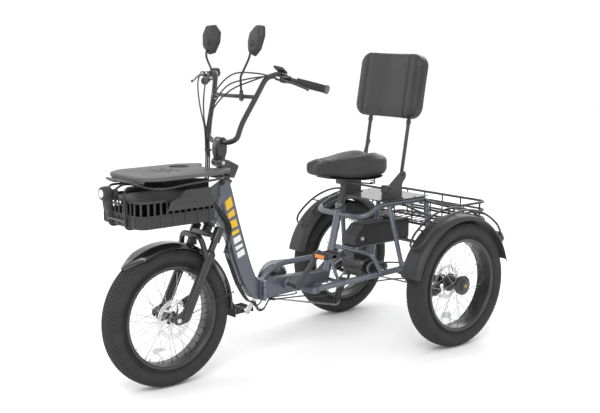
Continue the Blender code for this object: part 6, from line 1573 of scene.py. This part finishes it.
for side, word in ((1, "left"), (-1, "right")):
    makePiece(word + "Grip", onSide(drum(gripProfile, gripStart, barAlong, 40), side), "stem", "rubber",
        ["grip_" + word])
    makePiece(word + "GripCap", onSide(drum(capProfile, gripStart, barAlong, 40), side), "stem",
        "greyPlastic")
    band = drum([(0.0130, 0.0395), (0.0150, 0.0405), (0.0150, 0.1010), (0.0130, 0.1020)], barTop, barAlong,
        36)
    ears = [extruded([barPoint(0.070, 1, 0.008, up), barPoint(0.104, 1, 0.008, up),
        barPoint(0.100, 1, 0.040, up), barPoint(0.076, 1, 0.040, up)],
                     barAbove * 0.0045) for up in (-0.0120, 0.0075)]
    axes = [barAlong, barAhead, barAbove]
    extras = []
    if side > 0:
        extras += [slantedBox(barPoint(0.052, 1, 0.004, 0.0185), axes, (0.008, 0.006, 0.008), 0.002)]
        tiltedUp = unit(barAbove - barAhead * 0.42)
        tiltAxes = [barAlong, unit(np.cross(tiltedUp, barAlong)), tiltedUp]
        screenAt = barPoint(0.053, 1, 0.003, 0.0310)
        extras.append(slantedBox(screenAt, tiltAxes, (0.0215, 0.0270, 0.0055), 0.0028))
        makePiece("displayScreen", slantedBox(screenAt + tiltedUp * 0.0056, tiltAxes,
            (0.0185, 0.0235, 0.0005), 0.0002), "stem", "screen")
        keys = [slantedBox(barPoint(0.0485 + 0.012 * k, 1, -0.020, 0.0130), axes, (0.0042, 0.0040, 0.0024),
            0.001) for k in range(3)]
        makePiece("leftKeys", joined(*keys), "stem", "greyPlastic")
        extras.append(slantedBox(barPoint(0.060, 1, -0.0150, 0.0060), axes, (0.0200, 0.0080, 0.0080), 0.003))
    else:
        extras.append(slantedBox(barPoint(0.048, 1, -0.004, 0.0005), axes, (0.0180, 0.0200, 0.0165), 0.004))
        makePiece("rightClampBand", onSide(joined(slantedBox(barPoint(0.048, 1, -0.004, 0.0188), axes,
            (0.0185, 0.0165, 0.0024), 0.001),
                                                  drum([(0.0151, 0.0820), (0.0158, 0.0826), (0.0158, 0.0990),
                                                      (0.0151, 0.0996)],
                                                       barTop, barAlong, 36)), -1), "stem", "silver")
        shifts = [slantedBox(barPoint(0.040 + 0.008 * k, 1, -0.0250, -0.002 + 0.004 * k), axes,
            (0.0032, 0.0030, 0.0045), 0.001) for k in range(3)]
        makePiece("rightKeys", onSide(joined(*shifts), -1), "stem", "amber")
    makePiece(word + "Controls", onSide(joined(band, *ears, *extras), side), "stem", "blackPlastic",
        ["controls_" + word])
    barrel = joined(*[tube(np.linspace(barPoint(a, 1, 0.0300, 0.002), barPoint(a - 0.016, 1, 0.0330, 0.002),
        4), 0.0042, 14) for a in (0.070,)])
    makePiece(word + "CableBarrel", onSide(barrel, side), "stem", "silver")
    path = [barPoint(0.086, 1, 0.032), barPoint(0.112, 1, 0.052), barPoint(0.150, 1, 0.058, -0.002),
        barPoint(0.190, 1, 0.0620, -0.0065),
            barPoint(0.212, 1, 0.067, -0.008)]
    blade = smoothRoute(path, 40)
    thick = np.interp(np.linspace(0, 1, 40), [0, 0.3, 0.92, 1], [0.0056, 0.0052, 0.0042, 0.0048])
    tip = [(0.0062 * math.sin(a), -0.0062 * math.cos(a)) for a in np.linspace(0.15, math.pi - 0.15, 12)]
    lever = joined(tube(blade, thick, 16, flat=0.85), drum(tip, barPoint(0.213, 1, 0.0675, -0.008), barAbove,
        20),
                   drum([(0.0065, -0.0072), (0.0075, -0.0065), (0.0075, 0.0065), (0.0065, 0.0072)],
                       barPoint(0.086, 1, 0.032), barAbove, 28))
    makePiece(word + "BrakeLever", onSide(lever, side), word + "_lever", "blackPaint",
        ["brake_lever_" + word])
    pinEnds = [drum([(0.0010, h), (0.0032, h + 0.0004), (0.0032, h + 0.0014), (0.0010, h + 0.0018)],
        barPoint(0.086, 1, 0.032), barAbove, 14)
               for h in (0.0120, -0.0138)]
    makePiece(word + "LeverPin", onSide(joined(*pinEnds), side), "stem", "steel")

throttleRing = drum([(0.0135, 0.1082), (0.0160, 0.1090), (0.0160, 0.1190), (0.0135, 0.1198)], barTop,
    barAlong, 36)
paddle = lofted([barPoint(0.114, 1, forward, up) + squircle(20, 0.6)[:, :1] * barAlong * wide
                 + squircle(20, 0.6)[:, 1:] * barAhead * thick
                 for forward, up, wide, thick in ((0.0, -0.012, 0.0050, 0.0040),
                     (-0.006, -0.018, 0.0062, 0.0042), (-0.015, -0.026, 0.0085, 0.0036),
                                                  (-0.0205, -0.0300, 0.0070, 0.0024))])
makePiece("throttle", onSide(joined(throttleRing, paddle), -1), "throttle", "blackPlastic",
    ["throttle_lever"])

print("mirrors")
mirrorFace = unit(np.array([0.12, 0.93, -0.20]))
mirrorMiddle = np.array([0.154, -0.958, 1.396])
mirrorAcross = unit(np.cross((0, 0, 1), mirrorFace))
mirrorAcross = mirrorAcross if mirrorAcross[0] > 0 else -mirrorAcross
mirrorAbove = unit(np.cross(mirrorFace, mirrorAcross))
mirrorAbove = mirrorAbove if mirrorAbove[2] > 0 else -mirrorAbove
mirrorCorners = [(-0.046, 0.034), (-0.010, 0.064), (0.038, 0.060), (0.052, 0.022), (0.040, -0.034),
    (0.006, -0.064), (-0.030, -0.056),
                 (-0.050, -0.010)]
mirrorOutline = bentRoute([(a, b, 0) for a, b in mirrorCorners], 0.0065, 6, closed=True)[:, :2]


def mirrorRing(scale, depth):
    return mirrorMiddle + mirrorOutline[:, :1] * scale * mirrorAcross + mirrorOutline[:,
        1:] * scale * mirrorAbove + mirrorFace * depth


for side, word in ((1, "left"), (-1, "right")):
    shell = lofted([mirrorRing(s, d) for s, d in ((0.30, -0.0200), (0.62, -0.0192), (0.80, -0.0170),
        (0.92, -0.0105), (0.98, -0.002),
                                                  (1.0, 0.0035), (0.985, 0.0062), (0.945, 0.0066),
                                                  (0.930, 0.0040))])
    stalk = tube(smoothRoute([mirrorFoot + (0, 0, 0.004), mirrorFoot + (0, -0.003, 0.060),
        (0.110, -0.993, 1.275), (0.144, -0.992, 1.322),
                              (0.151, -0.986, 1.352), (0.152, -0.974, 1.378)], 50), 0.0046, 14)
    knob = drum([(0.0060, 0.0), (0.0085, 0.0010), (0.0085, 0.0085), (0.0060, 0.0110)], mirrorFoot, (0, 0, 1),
        6)
    boot = drum([(0.0065, -0.010), (0.0120, -0.004), (0.0150, 0.006)],
        mirrorMiddle + mirrorAcross * -0.002 + mirrorAbove * -0.016
                - mirrorFace * 0.020, tuple(mirrorFace), 24)
    makePiece(word + "Mirror", onSide(joined(shell, stalk, knob, boot), side), word + "_mirror",
        "blackPlastic", ["mirror_" + word], sharp=32)
    glass = lofted([mirrorRing(0.930, 0.0036), mirrorRing(0.928, 0.0046), mirrorRing(0.915, 0.0050)])
    makePiece(word + "MirrorGlass", onSide(glass, side), word + "_mirror", "mirrorGlass")

print("cables")
cable = {"radius": 0.0031, "brakeHose": 0.0024}
barRoutes = [
    [barPoint(0.060, 1, 0.0330), (0.185, -0.985, 1.268), (0.110, -1.050, 1.262), (0.045, -1.092, 1.180),
        (0.014, -1.098, 1.050), (0.012, -1.096, 0.925)],
    [barPoint(0.044, 1, 0.020, 0.006), (0.150, -1.000, 1.245), (0.085, -1.058, 1.215), (0.030, -1.090, 1.130),
        (0.000, -1.099, 1.040), (0.000, -1.096, 0.925)],
    [barPoint(0.036, 1, -0.004, 0.016), (0.140, -0.972, 1.236), (0.070, -1.030, 1.196),
        (0.018, -1.078, 1.120), (0.006, -1.092, 1.030), (0.006, -1.090, 0.925)],
    [barPoint(0.060, -1, 0.0330), (-0.185, -0.992, 1.260), (-0.125, -1.052, 1.215), (-0.052, -1.094, 1.130),
        (-0.014, -1.099, 1.040), (-0.012, -1.096, 0.925)],
    [barPoint(0.040, -1, 0.014), (-0.158, -0.985, 1.230), (-0.100, -1.040, 1.170), (-0.040, -1.084, 1.090),
        (-0.008, -1.093, 1.010), (-0.006, -1.090, 0.925)],
]
ties = [slab(roundedOutline((-0.018, -1.1005), (0.018, -1.0870), 0.004), z, z + 0.008, "z",
    0.001) for z in (0.950, 1.030)]
makePiece("barCables", joined(*[tube(smoothRoute(route, 70), cable["radius"], 10) for route in barRoutes],
    *ties), "stem", "cableSkin",
          ["bar_cables"])


def frameRoute(k):
    across, back = -0.012 + 0.012 * k, 0.007 * k
    return [(across, -1.098, 0.868), (across, -1.104, 0.800), (0.026, -1.101 + back, 0.745),
        (0.0325, -1.066 + back, 0.700),
            (0.0325, -1.024 + back, 0.640), (0.0325, -1.022 + back, 0.600),
            (0.026, -1.024 + back * 0.5, 0.560), (across, -1.006, 0.512),
            (across, -0.982, 0.445), (across, -0.948, 0.362), (across, -0.899, 0.288),
            (across, -0.862, 0.2740)]


frameTies = [boxOf((-0.018, -1.0985, 0.850), (0.018, -1.0935, 0.858), 0.001),
    boxOf((-0.018, -1.0100, 0.5080), (0.018, -1.0000, 0.5180), 0.001),
             boxOf((-0.018, -0.9500, 0.3580), (0.018, -0.9410, 0.3680), 0.001)]
makePiece("frameCables", joined(*[tube(smoothRoute(frameRoute(k), 110), cable["radius"],
    10) for k in range(3)], *frameTies), "front_frame",
          "cableSkin", ["frame_cables"])
rearLeft = [(0.020, -0.800, 0.2755), (0.022, -0.700, 0.268), (0.030, -0.600, 0.262), (0.085, -0.560, 0.264),
    (0.110, -0.480, 0.274),
            (0.150, -0.300, 0.300), (0.215, -0.120, 0.300), (0.296, -0.100, 0.265)]
rearClip = boxOf((-0.024, -0.772, 0.2680), (0.024, -0.760, 0.2745), 0.001)
makePiece("rearCables", joined(onBothSides(tube(smoothRoute(rearLeft, 100), cable["radius"], 10)), rearClip),
    "rear_frame", "cableSkin",
          ["rear_cables"])


def bridge(name, routes, bodyA, bodyB, start, end):
    # short lengths of the same cables between two bodies, built on the first body, then freed from it with
    # their place baked in
    piece = makePiece(name, joined(*[tube(smoothRoute(route, 24), cable["radius"], 10) for route in routes]),
        bodyA, "cableSkin")
    piece.parent = None
    del piece["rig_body"]
    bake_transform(piece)
    return piece


topEnds = [-0.012, 0.0, 0.012]
bridge("upperCableBridge", [[(x, -1.096, 0.926), (x, -1.0965, 0.911), (x, -1.0972, 0.897)] for x in topEnds],
    "steering", "stem",
       (0, -1.096, 0.899), (0, -1.096, 0.924))
bridge("lowerCableBridge", [[(x, -1.0972, 0.898), (x, -1.0976, 0.883), (x, -1.098, 0.867)] for x in topEnds],
    "front_frame", "steering",
       (0, -1.098, 0.869), (0, -1.098, 0.896))
foldRoutes = [[(-0.012, -0.866, 0.2745), (-0.016, -0.845, 0.250), (-0.020, -0.820, 0.252),
    (-0.020, -0.797, 0.2750)],
              [(0.012, -0.866, 0.2745), (0.016, -0.846, 0.242), (0.020, -0.822, 0.244),
                  (0.020, -0.797, 0.2752)],
              [(0.000, -0.866, 0.2745), (0.010, -0.848, 0.236), (0.018, -0.824, 0.238),
                  (0.020, -0.799, 0.2750)]]
bridge("foldCableBridge", foldRoutes, "front_frame", "rear_frame", (0, -0.862, 0.262), (0, -0.802, 0.262))

print("floor and light")
bpy.context.scene.view_settings.view_transform = "Standard"
studio = {"floorHalf": 14.0, "floorColour": (0.97, 0.97, 0.97), "sky": 1.04, "key": 150.0, "fill": 40.0,
    "rim": 90.0}


def addLight(name, place, aim, power, size):
    lamp = bpy.data.lights.new(name, "AREA")
    lamp.energy, lamp.size = power, size
    holder = bpy.data.objects.new(name, lamp)
    bpy.context.scene.collection.objects.link(holder)
    holder.location = place
    holder.rotation_euler = (Vector(aim) - Vector(place)).to_track_quat("-Z", "Y").to_euler()


addLight("keyLight", (3.2, -3.4, 4.6), (0, 0, 0.6), studio["key"], 3.0)
addLight("fillLight", (-4.2, -2.6, 2.8), (0, 0, 0.7), studio["fill"], 3.5)
addLight("backLight", (-1.8, 4.6, 3.6), (0, 0.4, 0.7), studio["rim"], 3.0)
world = bpy.data.worlds.new("studio")
world.use_nodes = True
world.node_tree.nodes["Background"].inputs["Color"].default_value = (1, 1, 1, 1)
world.node_tree.nodes["Background"].inputs["Strength"].default_value = studio["sky"]
bpy.context.scene.world = world
half = studio["floorHalf"]
floorMesh = bpy.data.meshes.new("floor")
floorMesh.from_pydata([(-half, -half, 0), (half, -half, 0), (half, half, 0), (-half, half, 0)], [],
    [(0, 1, 2, 3)])
floorMesh.materials.append(surfaceFinish("floorPaper", studio["floorColour"], 0.9, vary=0.0, grainDepth=0.0))
floor = bpy.data.objects.new("floor", floorMesh)
bpy.context.scene.collection.objects.link(floor)
